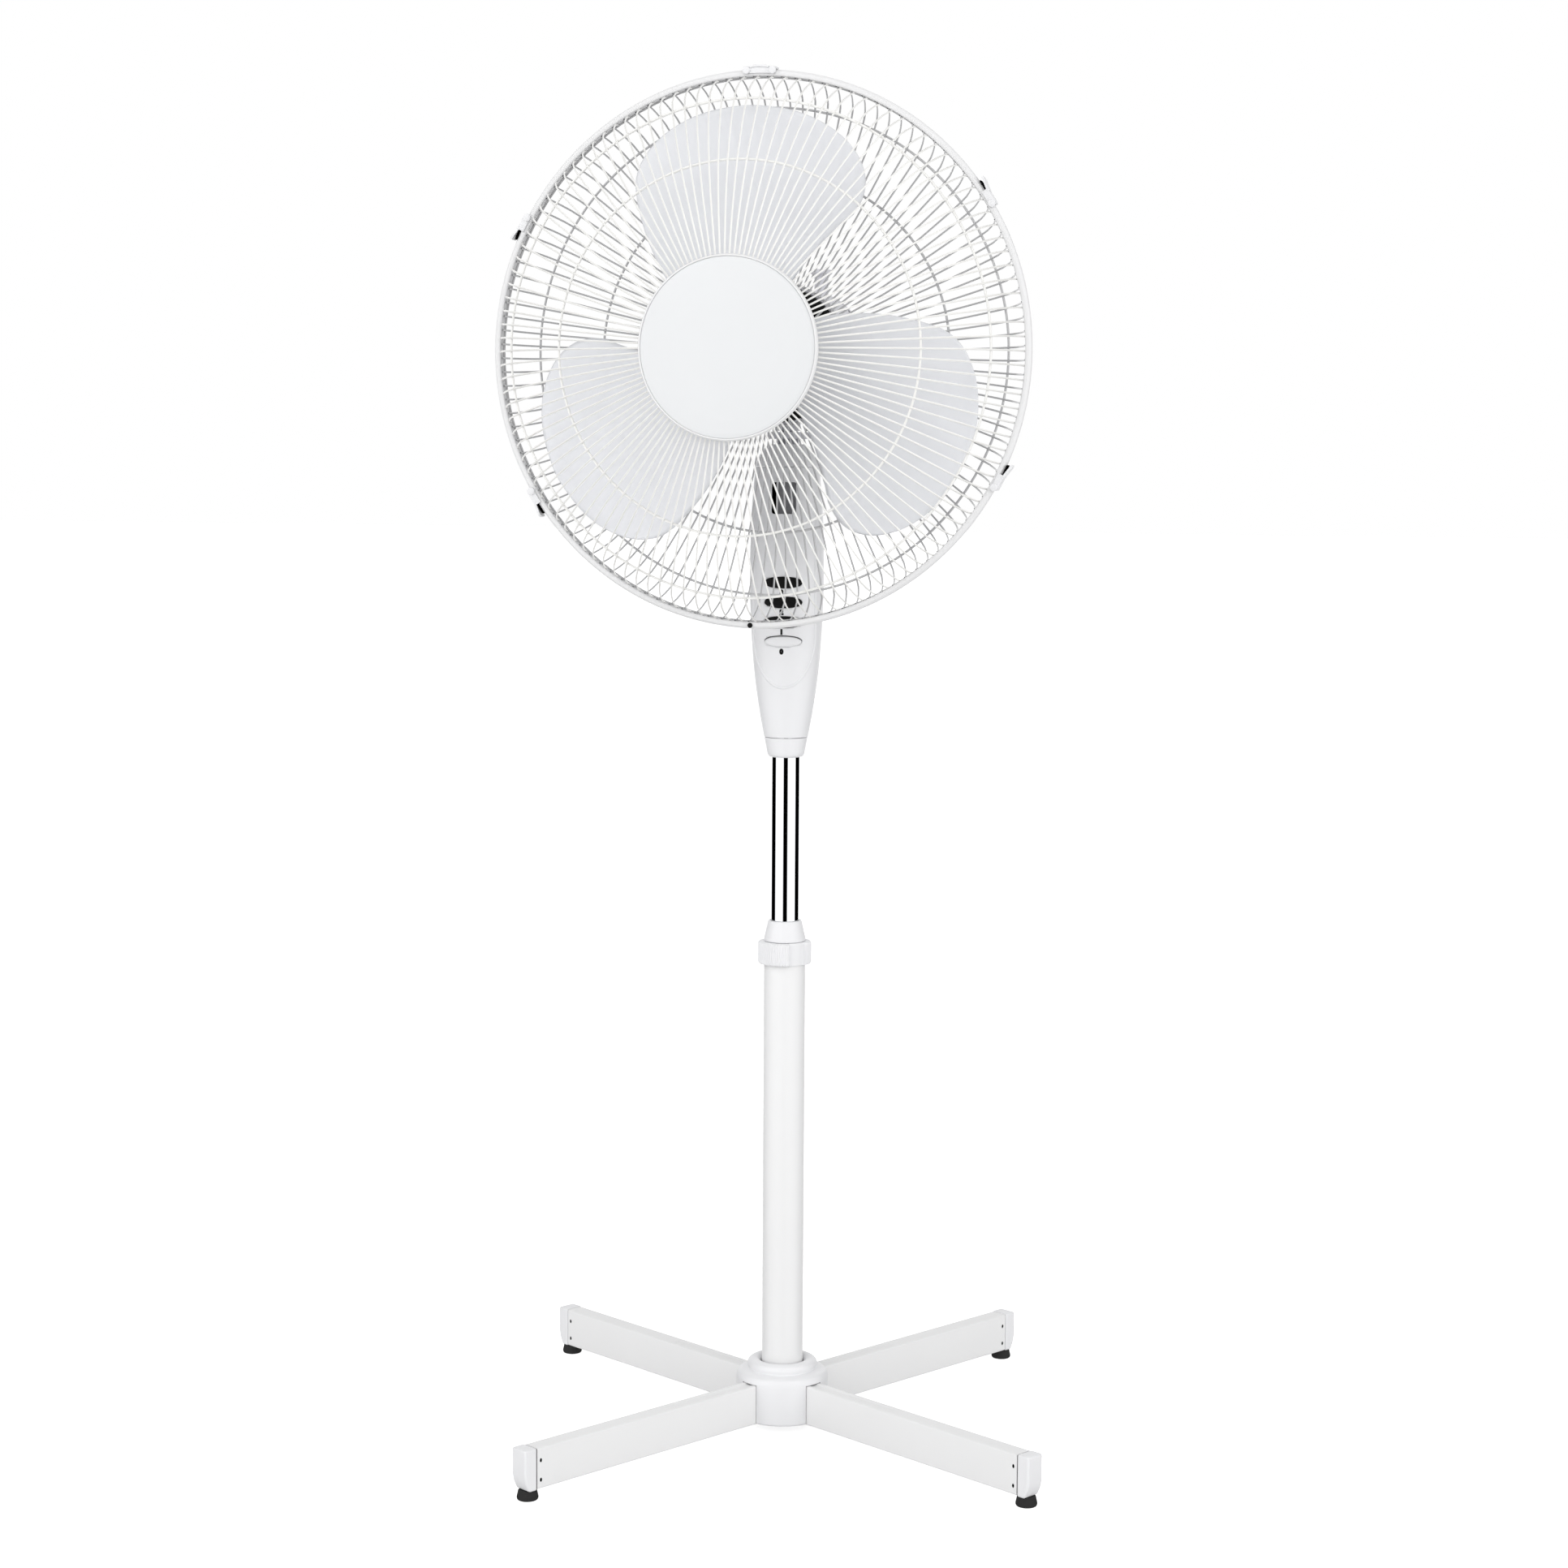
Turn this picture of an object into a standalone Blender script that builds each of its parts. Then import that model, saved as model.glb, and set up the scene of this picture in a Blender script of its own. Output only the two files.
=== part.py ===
"""Pedestal fan with a cross base, a sliding pole and a swinging head.

Units are metres and +Z is up. The origin is on the floor, on the pole's axis. The head blows towards -Y. The base
and the control column are turned about the pole by the angles below. Each sub-part is one closed solid.
"""

import math

import bmesh
import bpy
import numpy as np
from mathutils import Matrix, Vector

GAP = 0.0003  # clearance between pieces that touch
FAR = 1.0  # reach of a cutter that runs right through

# Base: two box-section bars, half-lapped at the pole.
BASE_TURN = math.radians(12.7 + 45.0)
BAR_WIDTH = 0.016
BAR_LOW = 0.0112
BAR_HIGH = 0.0422
BAR_WALL = 0.0012
BAR_HALF_LENGTH = 0.2764
CAP_LENGTH = 0.0123
CAP_PLUG_LENGTH = 0.018
FOOT_REACH = 0.2800
FOOT_RADIUS = 0.0088
BOLT_RADIUS = 0.004
HUB_RADIUS = 0.0390
HUB_WALL = 0.0022
HUB_RING_RADIUS = 0.0296
HUB_TOP = 0.0585

# Pole: a painted outer tube and a chromed tube that slides in it.
OUTER_RADIUS = 0.0175
OUTER_TOP = 0.3975
INNER_RADIUS = 0.01175
INNER_LOW = 0.2000
INNER_TOP = 0.6400
TUBE_WALL = 0.0012
RING_RADIUS = 0.0219
RING_TOP = 0.4190
RING_RIBS = 20
COLLET_TOP = 0.4366

# Control column.
COLUMN_TURN = math.radians(7.5)
COLUMN_LOW = 0.5750
FERRULE_TOP = 0.5900
COLUMN_TOP = 0.8165
COLUMN_WALL = 0.0022
COLUMN_STATIONS = ((0.5750, 0.0150), (0.6100, 0.0217), (0.6450, 0.0266), (0.6800, 0.0293),
                   (0.7800, 0.0293), (0.8165, 0.0265))
COLUMN_DEPTH_RATIO = (1.0, 0.92)  # depth over width at the bottom and at the top
COLUMN_SQUARENESS = 2.5
KEY_TOP_Z = 0.7212
KEY_PITCH = 0.0163
KEY_HALF_WIDTH = 0.0152
KEY_HALF_HEIGHT = 0.0046
KEY_FRONT = 0.0292
KEY_BACK = 0.0165
NECK_TOP = 0.8350
NECK_OPENING = (0.0190, 0.0280)
TILT_Z = 0.8120

# Head: the frame's Z points forward, along the blowing direction, and its Y points up.
HEAD_Z = 0.9075
BAND_FORWARD = 0.1000
BAND_RADIUS = 0.2200
BAND_INNER = 0.2133
BAND_HALF_DEPTH = 0.0075
SHAFT_RADIUS = 0.0040
MOTOR_WALL = 0.0022
SWING_PIN_RADIUS = 0.005
KNOB_BACK = 0.1180
CRANK_BACK = 0.0660
CRANK_THROW = 0.0080
LINK_ANCHOR = (0.0180, 0.0120)

# Guards: radius and depth from the band's plane, forward positive.
FRONT_GUARD = ((0.2112, 0.0035), (0.2060, 0.0240), (0.1948, 0.0394), (0.1454, 0.0682), (0.0700, 0.0915))
REAR_GUARD = ((0.2112, -0.0035), (0.2055, -0.0240), (0.1937, -0.0375), (0.1442, -0.0517), (0.1140, -0.0550),
              (0.1060, -0.0581), (0.0580, -0.0581), (0.0206, -0.0581))
GUARD_SPOKES = 20
GUARD_BAR = 0.0032
CAP_RADIUS = 0.0712
CLIP_ANGLES = (32.5, 152.0, 212.0, -27.5)

# Blades: three broad paddles on one hub.
BLADE_COUNT = 3
BLADE_PHASE = 91.5
BLADE_ROOT = 0.0322
BLADE_TIP = 0.1900
BLADE_THICKNESS = 0.0022
BLADE_FORWARD = 0.1120
BLADE_RISE = 0.036  # forward metres per radian
HUB_CUP_RADIUS = 0.0340


def clear_scene():
    """Remove every object of the open file."""
    for old in list(bpy.data.objects):
        bpy.data.objects.remove(old, do_unlink=True)


def make_material(name, colour, roughness, metallic=0.0, alpha=1.0):
    """Return a Principled material."""
    material = bpy.data.materials.new(name)
    material.use_nodes = True
    shader = material.node_tree.nodes["Principled BSDF"]
    shader.inputs["Base Color"].default_value = (*colour, 1.0)
    shader.inputs["Roughness"].default_value = roughness
    shader.inputs["Metallic"].default_value = metallic
    shader.inputs["Alpha"].default_value = alpha
    material.diffuse_color = (*colour, alpha)
    return material


def make_frame(name, matrix, parent=None):
    """Return an empty that carries a group of parts."""
    empty = bpy.data.objects.new(name, None)
    empty.parent = parent
    empty.matrix_local = matrix
    empty.empty_display_size = 0.03
    bpy.context.collection.objects.link(empty)
    return empty


def add_part(name, mesh_source, material, parent=None, matrix=None, sharp_degrees=35.0):
    """Link one named part made from a bmesh."""
    bmesh.ops.recalc_face_normals(mesh_source, faces=mesh_source.faces)
    mesh = bpy.data.meshes.new(name)
    mesh_source.to_mesh(mesh)
    mesh_source.free()
    mesh.shade_smooth()
    mesh.set_sharp_from_angle(angle=math.radians(sharp_degrees))
    if material is not None:
        mesh.materials.append(material)
    part = bpy.data.objects.new(name, mesh)
    part.parent = parent
    part.matrix_local = matrix or Matrix()
    bpy.context.collection.objects.link(part)
    return part


def box_mesh(low, high):
    """Return a bmesh box between two corners."""
    low = Vector(low)
    high = Vector(high)
    mesh_source = bmesh.new()
    size = high - low
    place = Matrix.Translation((low + high) / 2) @ Matrix.Diagonal((*size, 1.0))
    bmesh.ops.create_cube(mesh_source, size=1.0, matrix=place)
    return mesh_source


def turned_mesh(profile, steps=20):
    """Spin a closed profile of (radius, height) points about Z; points on the axis close the solid."""
    mesh_source = bmesh.new()
    verts = [mesh_source.verts.new((radius, 0.0, height)) for radius, height in profile]
    closed = all(radius > 0.0 for radius, _ in profile)
    pairs = list(zip(verts, verts[1:]))
    if closed:
        pairs.append((verts[-1], verts[0]))
    edges = [mesh_source.edges.new(pair) for pair in pairs]
    bmesh.ops.spin(mesh_source, geom=verts + edges, cent=(0, 0, 0), axis=(0, 0, 1), angle=math.tau,
                   steps=steps, use_merge=True)
    bmesh.ops.remove_doubles(mesh_source, verts=mesh_source.verts, dist=1e-7)
    return mesh_source


def tube_profile(inner, outer, low, high):
    """Return the profile of a plain tube."""
    return ((inner, low), (outer, low), (outer, high), (inner, high))


def prism_mesh(outline, low, high):
    """Extrude a flat outline in X and Y from low to high."""
    mesh_source = bmesh.new()
    face = mesh_source.faces.new([mesh_source.verts.new((x, y, low)) for x, y in outline])
    extruded = bmesh.ops.extrude_face_region(mesh_source, geom=[face])
    lifted = [item for item in extruded["geom"] if isinstance(item, bmesh.types.BMVert)]
    bmesh.ops.translate(mesh_source, verts=lifted, vec=(0, 0, high - low))
    return mesh_source


def loft_mesh(rings, cap_first=True, cap_last=True):
    """Skin a list of rings with the same number of points."""
    mesh_source = bmesh.new()
    rows = [[mesh_source.verts.new(point) for point in ring] for ring in rings]
    for row, after in zip(rows, rows[1:]):
        for here in range(len(row)):
            there = (here + 1) % len(row)
            mesh_source.faces.new((row[here], row[there], after[there], after[here]))
    if cap_first:
        mesh_source.faces.new(rows[0])
    if cap_last:
        mesh_source.faces.new(rows[-1])
    return mesh_source


def superellipse(half_width, half_height, power, count):
    """Return points round a superellipse, anticlockwise from +X."""
    angles = np.linspace(0.0, math.tau, count, endpoint=False)
    cosine = np.cos(angles)
    sine = np.sin(angles)
    across = half_width * np.sign(cosine) * np.abs(cosine) ** (2.0 / power)
    up = half_height * np.sign(sine) * np.abs(sine) ** (2.0 / power)
    return np.column_stack((across, up))


def smooth_through(stations, value):
    """Return a Catmull-Rom value through (position, value) stations."""
    places = np.array([station[0] for station in stations])
    values = np.array([station[1] for station in stations])
    slopes = np.gradient(values, places)
    index = int(np.clip(np.searchsorted(places, value) - 1, 0, len(places) - 2))
    span = places[index + 1] - places[index]
    t = (value - places[index]) / span
    ease = t * t * (3.0 - 2.0 * t)
    start = slopes[index] * span * (t ** 3 - 2.0 * t ** 2 + t)
    end = slopes[index + 1] * span * (t ** 3 - t ** 2)
    return float(values[index] * (1.0 - ease) + values[index + 1] * ease + start + end)


def bevel(part, width, segments=2, angle_degrees=40.0):
    """Round a part's sharp edges."""
    modifier = part.modifiers.new("Bevel", "BEVEL")
    modifier.width = width
    modifier.segments = segments
    modifier.limit_method = "ANGLE"
    modifier.angle_limit = math.radians(angle_degrees)


def boolean(part, name, mesh_source, operation="DIFFERENCE", matrix=None):
    """Cut a part with, or join it to, a hidden helper solid."""
    helper = add_part(name, mesh_source, None, parent=part.parent, matrix=matrix)
    helper.hide_render = True
    helper.display_type = "WIRE"
    modifier = part.modifiers.new(operation.title(), "BOOLEAN")
    modifier.operation = operation
    modifier.solver = "EXACT"
    modifier.object = helper
    return helper


def polar(radius, angle, height=0.0):
    """Return a point from a radius and an angle in radians."""
    return (radius * math.cos(angle), radius * math.sin(angle), height)


def around(angle):
    """Return a turn about Z."""
    return Matrix.Rotation(angle, 4, "Z")


# Base -----------------------------------------------------------------------------------------------------------


def build_leg_bars(frame, paint):
    """Two box-section bars; bar a gives way on top at the crossing and bar b below."""
    middle = (BAR_LOW + BAR_HIGH) / 2
    half = BAR_WIDTH / 2
    notch_half = half + GAP
    for letter, turn in (("a", 0.0), ("b", math.pi / 2)):
        bar = add_part(f"leg_bar_{letter}", box_mesh((-BAR_HALF_LENGTH, -half, BAR_LOW),
                                                     (BAR_HALF_LENGTH, half, BAR_HIGH)),
                       paint, frame, around(turn))
        bevel(bar, 0.0012)
        hollow = box_mesh((-FAR, BAR_WALL - half, BAR_LOW + BAR_WALL), (FAR, half - BAR_WALL, BAR_HIGH - BAR_WALL))
        boolean(bar, f"cut_bar_{letter}_hollow", hollow, matrix=around(turn))
        if letter == "a":
            notch = box_mesh((-notch_half, -FAR, middle - GAP), (notch_half, FAR, FAR))
        else:
            notch = box_mesh((-notch_half, -FAR, -FAR), (notch_half, FAR, middle))
        boolean(bar, f"cut_bar_{letter}_notch", notch, matrix=around(turn))
        hole = turned_mesh(((0, -FAR), (BOLT_RADIUS + GAP, -FAR), (BOLT_RADIUS + GAP, FAR), (0, FAR)), 16)
        boolean(bar, f"cut_bar_{letter}_bolt", hole)


def build_end_caps(frame, plastic):
    """Four moulded plugs that close the bar ends, each with a socket for its foot."""
    half = BAR_WIDTH / 2
    start = BAR_HALF_LENGTH + GAP
    chamfer = 0.0045
    outline = ((start, BAR_LOW), (start + CAP_LENGTH - chamfer, BAR_LOW), (start + CAP_LENGTH, BAR_LOW + 2 * chamfer),
               (start + CAP_LENGTH, BAR_HIGH), (start, BAR_HIGH))
    upright = Matrix.Rotation(math.pi / 2, 4, "X")
    for index in range(4):
        turn = around(index * math.pi / 2)
        cap = add_part(f"end_cap_{index}", prism_mesh(outline, -half, half), plastic, frame, turn @ upright)
        bevel(cap, 0.0012)
        inset = BAR_WALL + GAP
        plug = box_mesh((start - CAP_PLUG_LENGTH, inset - half, BAR_LOW + inset),
                        (start + 0.002, half - inset, BAR_HIGH - inset))
        boolean(cap, f"join_cap_{index}_plug", plug, "UNION", turn)
        socket = turned_mesh(((0, -FAR), (0.0028, -FAR), (0.0028, BAR_LOW + 0.0063), (0, BAR_LOW + 0.0063)), 16)
        boolean(cap, f"cut_cap_{index}_socket", socket, matrix=turn @ Matrix.Translation((FOOT_REACH, 0, 0)))


def build_feet(frame, rubber):
    """Four rubber feet with a stub that presses into the end cap."""
    top = BAR_LOW - GAP
    profile = ((0, 0), (FOOT_RADIUS - 0.0006, 0), (FOOT_RADIUS, 0.0008), (FOOT_RADIUS - 0.0012, top), (0.0025, top),
               (0.0025, top + 0.0055), (0, top + 0.0055))
    for index in range(4):
        place = around(index * math.pi / 2) @ Matrix.Translation((FOOT_REACH, 0, 0))
        add_part(f"foot_{index}", turned_mesh(profile, 16), rubber, frame, place)


def build_hub(frame, plastic, steel):
    """Moulded cover over the crossing, and the bolt and flange that hold the pole."""
    ceiling = BAR_HIGH + GAP
    bore = OUTER_RADIUS + GAP
    profile = ((bore, ceiling), (HUB_RADIUS - HUB_WALL, ceiling), (HUB_RADIUS - HUB_WALL, BAR_LOW),
               (HUB_RADIUS, BAR_LOW), (HUB_RADIUS, 0.0450), (0.0376, 0.0482), (0.0345, 0.0494),
               (HUB_RING_RADIUS, 0.0497), (HUB_RING_RADIUS, 0.0560), (0.0272, HUB_TOP),
               (bore, HUB_TOP))
    cover = add_part("hub_cover", turned_mesh(profile, 32), plastic, frame)
    reach = BAR_WIDTH / 2 + GAP
    for letter, turn in (("a", 0.0), ("b", math.pi / 2)):
        slot = box_mesh((-FAR, -reach, 0.0), (FAR, reach, ceiling - 0.0001))
        boolean(cover, f"cut_hub_slot_{letter}", slot, matrix=around(turn))

    flange_low = BAR_HIGH + GAP
    plug = ((BOLT_RADIUS + GAP, flange_low), (OUTER_RADIUS - TUBE_WALL - GAP, flange_low),
            (OUTER_RADIUS - TUBE_WALL - GAP, 0.0560), (BOLT_RADIUS + GAP, 0.0560))
    add_part("pole_foot", turned_mesh(plug), steel, frame)

    head = [polar(0.0072, index * math.pi / 3)[:2] for index in range(6)]
    bolt = add_part("base_bolt", prism_mesh(head, 0.0040, 0.0090), steel, frame)
    shank = turned_mesh(((0, 0.0085), (BOLT_RADIUS, 0.0085), (BOLT_RADIUS, 0.0540), (0, 0.0540)), 16)
    boolean(bolt, "join_bolt_shank", shank, "UNION")
    add_part("base_washer", turned_mesh(tube_profile(BOLT_RADIUS + GAP, 0.0125, 0.0093, BAR_LOW - GAP)),
             steel, frame)


# Pole -----------------------------------------------------------------------------------------------------------


def build_outer_pole(frame, paint, plastic):
    """Outer tube with its collar, the split collet and the ribbed ring that squeezes it."""
    tube = tube_profile(OUTER_RADIUS - TUBE_WALL, OUTER_RADIUS, BAR_HIGH + GAP, OUTER_TOP)
    add_part("outer_tube", turned_mesh(tube, 32), paint, frame)

    bore = INNER_RADIUS + GAP
    inside = OUTER_RADIUS - TUBE_WALL - GAP
    collar = ((bore, 0.3700), (inside, 0.3700), (inside, OUTER_TOP + GAP), (0.0183, OUTER_TOP + GAP),
              (0.0183, 0.4012), (0.0165, 0.4012), (0.0165, 0.4085), (bore, 0.4085))
    add_part("tube_collar", turned_mesh(collar), plastic, frame)

    collet = ((bore, 0.4090), (0.0146, 0.4090), (0.0146, RING_TOP + GAP), (0.0170, RING_TOP + GAP),
              (0.0170, 0.4220), (0.0142, 0.4345), (0.0137, COLLET_TOP), (bore, COLLET_TOP))
    add_part("collet", turned_mesh(collet), plastic, frame)

    low = OUTER_TOP - 0.0008
    ring = ((0.0188, low), (RING_RADIUS - 0.0008, low), (RING_RADIUS, low + 0.0012), (RING_RADIUS, RING_TOP - 0.0016),
            (RING_RADIUS - 0.0012, RING_TOP), (0.0150, RING_TOP), (0.0150, RING_TOP - 0.0030),
            (0.0188, RING_TOP - 0.0030))
    mesh_source = turned_mesh(ring, 2 * RING_RIBS)
    for vert in mesh_source.verts:
        radius = math.hypot(vert.co.x, vert.co.y)
        step = round(math.atan2(vert.co.y, vert.co.x) / (math.pi / RING_RIBS))
        if radius > RING_RADIUS - 0.0001 and step % 2:
            vert.co.xy *= (RING_RADIUS - 0.0008) / RING_RADIUS
    add_part("height_ring", mesh_source, plastic, frame)


def build_inner_pole(frame, chrome, plastic):
    """Chromed tube and the plastic bush that guides its lower end."""
    tube = tube_profile(INNER_RADIUS - 0.001, INNER_RADIUS, INNER_LOW, INNER_TOP)
    add_part("inner_tube", turned_mesh(tube, 24), chrome, frame)
    inside = INNER_RADIUS - 0.001 - GAP
    outside = OUTER_RADIUS - TUBE_WALL - GAP
    bush = ((0, 0.1880), (outside, 0.1880), (outside, INNER_LOW - GAP), (inside, INNER_LOW - GAP),
            (inside, 0.2150), (0, 0.2150))
    add_part("inner_tube_bush", turned_mesh(bush), plastic, frame)


# Control column -------------------------------------------------------------------------------------------------


def column_ring(height, inset=0.0, count=24):
    """Return one ring of the column's skin, or of its hollow when inset."""
    half_width = smooth_through(COLUMN_STATIONS, height)
    share = (height - COLUMN_LOW) / (COLUMN_TOP - COLUMN_LOW)
    ratio = COLUMN_DEPTH_RATIO[0] + (COLUMN_DEPTH_RATIO[1] - COLUMN_DEPTH_RATIO[0]) * min(1.0, 2.0 * share)
    power = 2.0 + (COLUMN_SQUARENESS - 2.0) * min(1.0, 2.0 * share)
    points = superellipse(half_width - inset, half_width * ratio - inset, power, count)
    return [(x, y, height) for x, y in points]


def column_front_at(height):
    """Return how far the column's front stands from the pole's axis at a height."""
    return max(abs(point[1]) for point in column_ring(height))


def key_height(row):
    """Return the height of a key, counted from the top."""
    return KEY_TOP_Z - row * KEY_PITCH


def key_mesh(grow, low, high):
    """Return the oval body of a key or, when grown, of its hole, pointing to the front."""
    outline = superellipse(KEY_HALF_WIDTH + grow, KEY_HALF_HEIGHT + grow, 2.3, 16)
    return prism_mesh([tuple(point) for point in outline], low, high)


def build_column(frame, plastic, black, white, steel):
    """Two shells, the ferrule, the four keys, the switch block and two screws."""
    levels = [FERRULE_TOP + GAP, 0.6150, 0.6400, 0.6600, 0.6820, 0.7800, 0.8000, COLUMN_TOP]
    facing = Matrix.Rotation(math.pi / 2, 4, "X")
    split = 0.0020
    for side, shell_name in ((-1, "column_front"), (1, "column_back")):
        shell = add_part(shell_name, loft_mesh([column_ring(level) for level in levels]), plastic, frame)
        inner = [column_ring(level, COLUMN_WALL) for level in levels]
        inner.insert(0, [(x, y, FERRULE_TOP - 0.01) for x, y, _ in inner[0]])
        inner.append([(x, y, COLUMN_TOP + 0.01) for x, y, _ in inner[-1]])
        boolean(shell, f"cut_{shell_name}_hollow", loft_mesh(inner))
        if side < 0:
            half = box_mesh((-FAR, split - GAP / 2, -FAR), (FAR, FAR, FAR))
        else:
            half = box_mesh((-FAR, -FAR, -FAR), (FAR, split + GAP / 2, FAR))
        boolean(shell, f"cut_{shell_name}_half", half)
        if side < 0:
            for row in range(4):
                hole = key_mesh(0.0004, 0.010, 0.040)
                boolean(shell, f"cut_key_hole_{row}", hole, matrix=Matrix.Translation((0, 0, key_height(row))) @ facing)
            slot = box_mesh((-0.0100, -FAR, 0.7780), (0.0100, -0.0150, 0.8040))
            boolean(shell, "cut_neck_slot", slot)
        else:
            for row, level in enumerate((0.6500, 0.7600)):
                hole = turned_mesh(((0, 0.010), (0.0019, 0.010), (0.0019, 0.050), (0, 0.050)), 12)
                place = Matrix.Translation((0, 0, level)) @ Matrix.Rotation(-math.pi / 2, 4, "X")
                boolean(shell, f"cut_screw_hole_{row}", hole, matrix=place)
                seat = column_front_at(level) + 0.0004
                screw = ((0, 0.0120), (0.0016, 0.0120), (0.0016, seat), (0.0036, seat), (0.0036, seat + 0.0012),
                         (0.0026, seat + 0.0020), (0, seat + 0.0020))
                add_part(f"column_screw_{row}", turned_mesh(screw, 16), steel, frame, place)

    ferrule = add_part("column_ferrule", loft_mesh([column_ring(level) for level in
                                                    (COLUMN_LOW, 0.5775, 0.5830, FERRULE_TOP)]), plastic, frame)
    bevel(ferrule, 0.0008, 1)
    sleeve = turned_mesh(((0, FERRULE_TOP - 0.002), (0.0154, FERRULE_TOP - 0.002), (0.0154, 0.6380), (0, 0.6380)))
    boolean(ferrule, "join_ferrule_sleeve", sleeve, "UNION")
    bore = INNER_RADIUS + GAP
    boolean(ferrule, "cut_ferrule_bore", turned_mesh(((0, 0.5), (bore, 0.5), (bore, 0.7), (0, 0.7))))

    for row, digit in enumerate((3, 2, 1, 0)):
        place = Matrix.Translation((0, 0, key_height(row))) @ facing
        key = add_part(f"key_{digit}", key_mesh(0.0, KEY_BACK, KEY_FRONT), white if digit == 0 else black, frame, place)
        bevel(key, 0.0012)
    add_part("switch_block", box_mesh((-0.0150, -0.0118, 0.6560), (0.0150, 0.0100, 0.7400)), black, frame)


def build_neck(frame, plastic, steel):
    """Domed collar on the column, with the opening the yoke leans in, and the tilt bolt and nut."""
    steps = ((COLUMN_TOP + GAP, 0.0262, 0.0242), (0.8240, 0.0238, 0.0226), (0.8300, 0.0206, 0.0204),
             (NECK_TOP, 0.0162, 0.0172))
    rings = [[(x, y, level) for x, y in superellipse(wide, deep, 2.3, 24)] for level, wide, deep in steps]
    collar = add_part("neck_collar", loft_mesh(rings), plastic, frame)
    across, along = NECK_OPENING
    boolean(collar, "cut_neck_opening", box_mesh((-across / 2, -along / 2, 0.80), (across / 2, along / 2, 0.85)))

    sideways = Matrix.Translation((0, 0, TILT_Z)) @ Matrix.Rotation(math.pi / 2, 4, "Y")
    bolt = ((0, -0.0235), (0.0043, -0.0235), (0.0043, -0.0205), (0.0030, -0.0205), (0.0030, 0.0225), (0, 0.0225))
    add_part("tilt_bolt", turned_mesh(bolt, 16), steel, frame, sideways)
    add_part("tilt_nut", turned_mesh(tube_profile(0.0036, 0.0046, 0.0165, 0.0200), 6), steel, frame, sideways)


# Tilt and swing -------------------------------------------------------------------------------------------------


def build_yoke(frame, metal):
    """Stem on the tilt bolt, a disc with an ear for the link, and the upright swing pin."""
    stem = add_part("tilt_yoke", box_mesh((-0.0088, -0.0050, 0.7760), (0.0088, 0.0050, 0.8420)), metal, frame)
    disc = turned_mesh(((0, 0.8395), (0.0170, 0.8395), (0.0170, 0.8450), (SWING_PIN_RADIUS, 0.8450),
                        (SWING_PIN_RADIUS, 0.8600), (0, 0.8600)))
    boolean(stem, "join_yoke_disc", disc, "UNION", around(0.05))
    ear = turned_mesh(((0, 0.8398), (0.0060, 0.8398), (0.0060, 0.8447), (0.0022, 0.8447), (0.0022, 0.8498),
                       (0, 0.8498)), 16)
    boolean(stem, "join_yoke_ear", ear, "UNION", Matrix.Translation((*LINK_ANCHOR, 0)))
    bore = turned_mesh(((0, -0.05), (0.0033, -0.05), (0.0033, 0.05), (0, 0.05)), 16)
    boolean(stem, "cut_yoke_bore", bore,
            matrix=Matrix.Translation((0, 0, TILT_Z)) @ Matrix.Rotation(math.pi / 2, 4, "Y"))


def crank_pin_place():
    """Return where the crank's pin stands in the head, seen from above."""
    return Vector((CRANK_THROW, CRANK_BACK))


def build_link(frame, metal):
    """Flat link from the yoke's ear to the crank; its far pivot is left open."""
    turn = -COLUMN_TURN
    pin = crank_pin_place()
    target = Vector((pin.x * math.cos(turn) - pin.y * math.sin(turn), pin.x * math.sin(turn) + pin.y * math.cos(turn)))
    reach = target - Vector(LINK_ANCHOR)
    half = 0.0045
    ends = []
    for centre, start in ((reach.length, -math.pi / 2), (0.0, math.pi / 2)):
        for step in range(7):
            angle = start + step * math.pi / 6
            ends.append((centre + half * math.cos(angle), half * math.sin(angle)))
    place = Matrix.Translation((*LINK_ANCHOR, 0)) @ around(math.atan2(reach.y, reach.x))
    link = add_part("swing_link", prism_mesh(ends, 0.8462, 0.8492), metal, frame, place)
    hole = turned_mesh(((0, 0.80), (0.0025, 0.80), (0.0025, 0.90), (0, 0.90)), 12)
    boolean(link, "cut_link_hole", hole, matrix=place)


def build_swing_arm(frame, metal):
    """Carrier under the motor: a sleeve on the swing pin and a plate; in world axes."""
    arm = add_part("swing_arm", box_mesh((-0.0140, -0.0340, 0.8525), (0.0140, 0.0460, 0.8560)), metal, frame)
    sleeve = turned_mesh(((0, 0.8462), (0.0105, 0.8462), (0.0105, 0.8612), (0, 0.8612)), 24)
    boolean(arm, "join_arm_sleeve", sleeve, "UNION")
    bore = SWING_PIN_RADIUS + GAP
    boolean(arm, "cut_arm_bore", turned_mesh(((0, 0.80), (bore, 0.80), (bore, 0.90), (0, 0.90)), 20))


# Motor ----------------------------------------------------------------------------------------------------------


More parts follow.
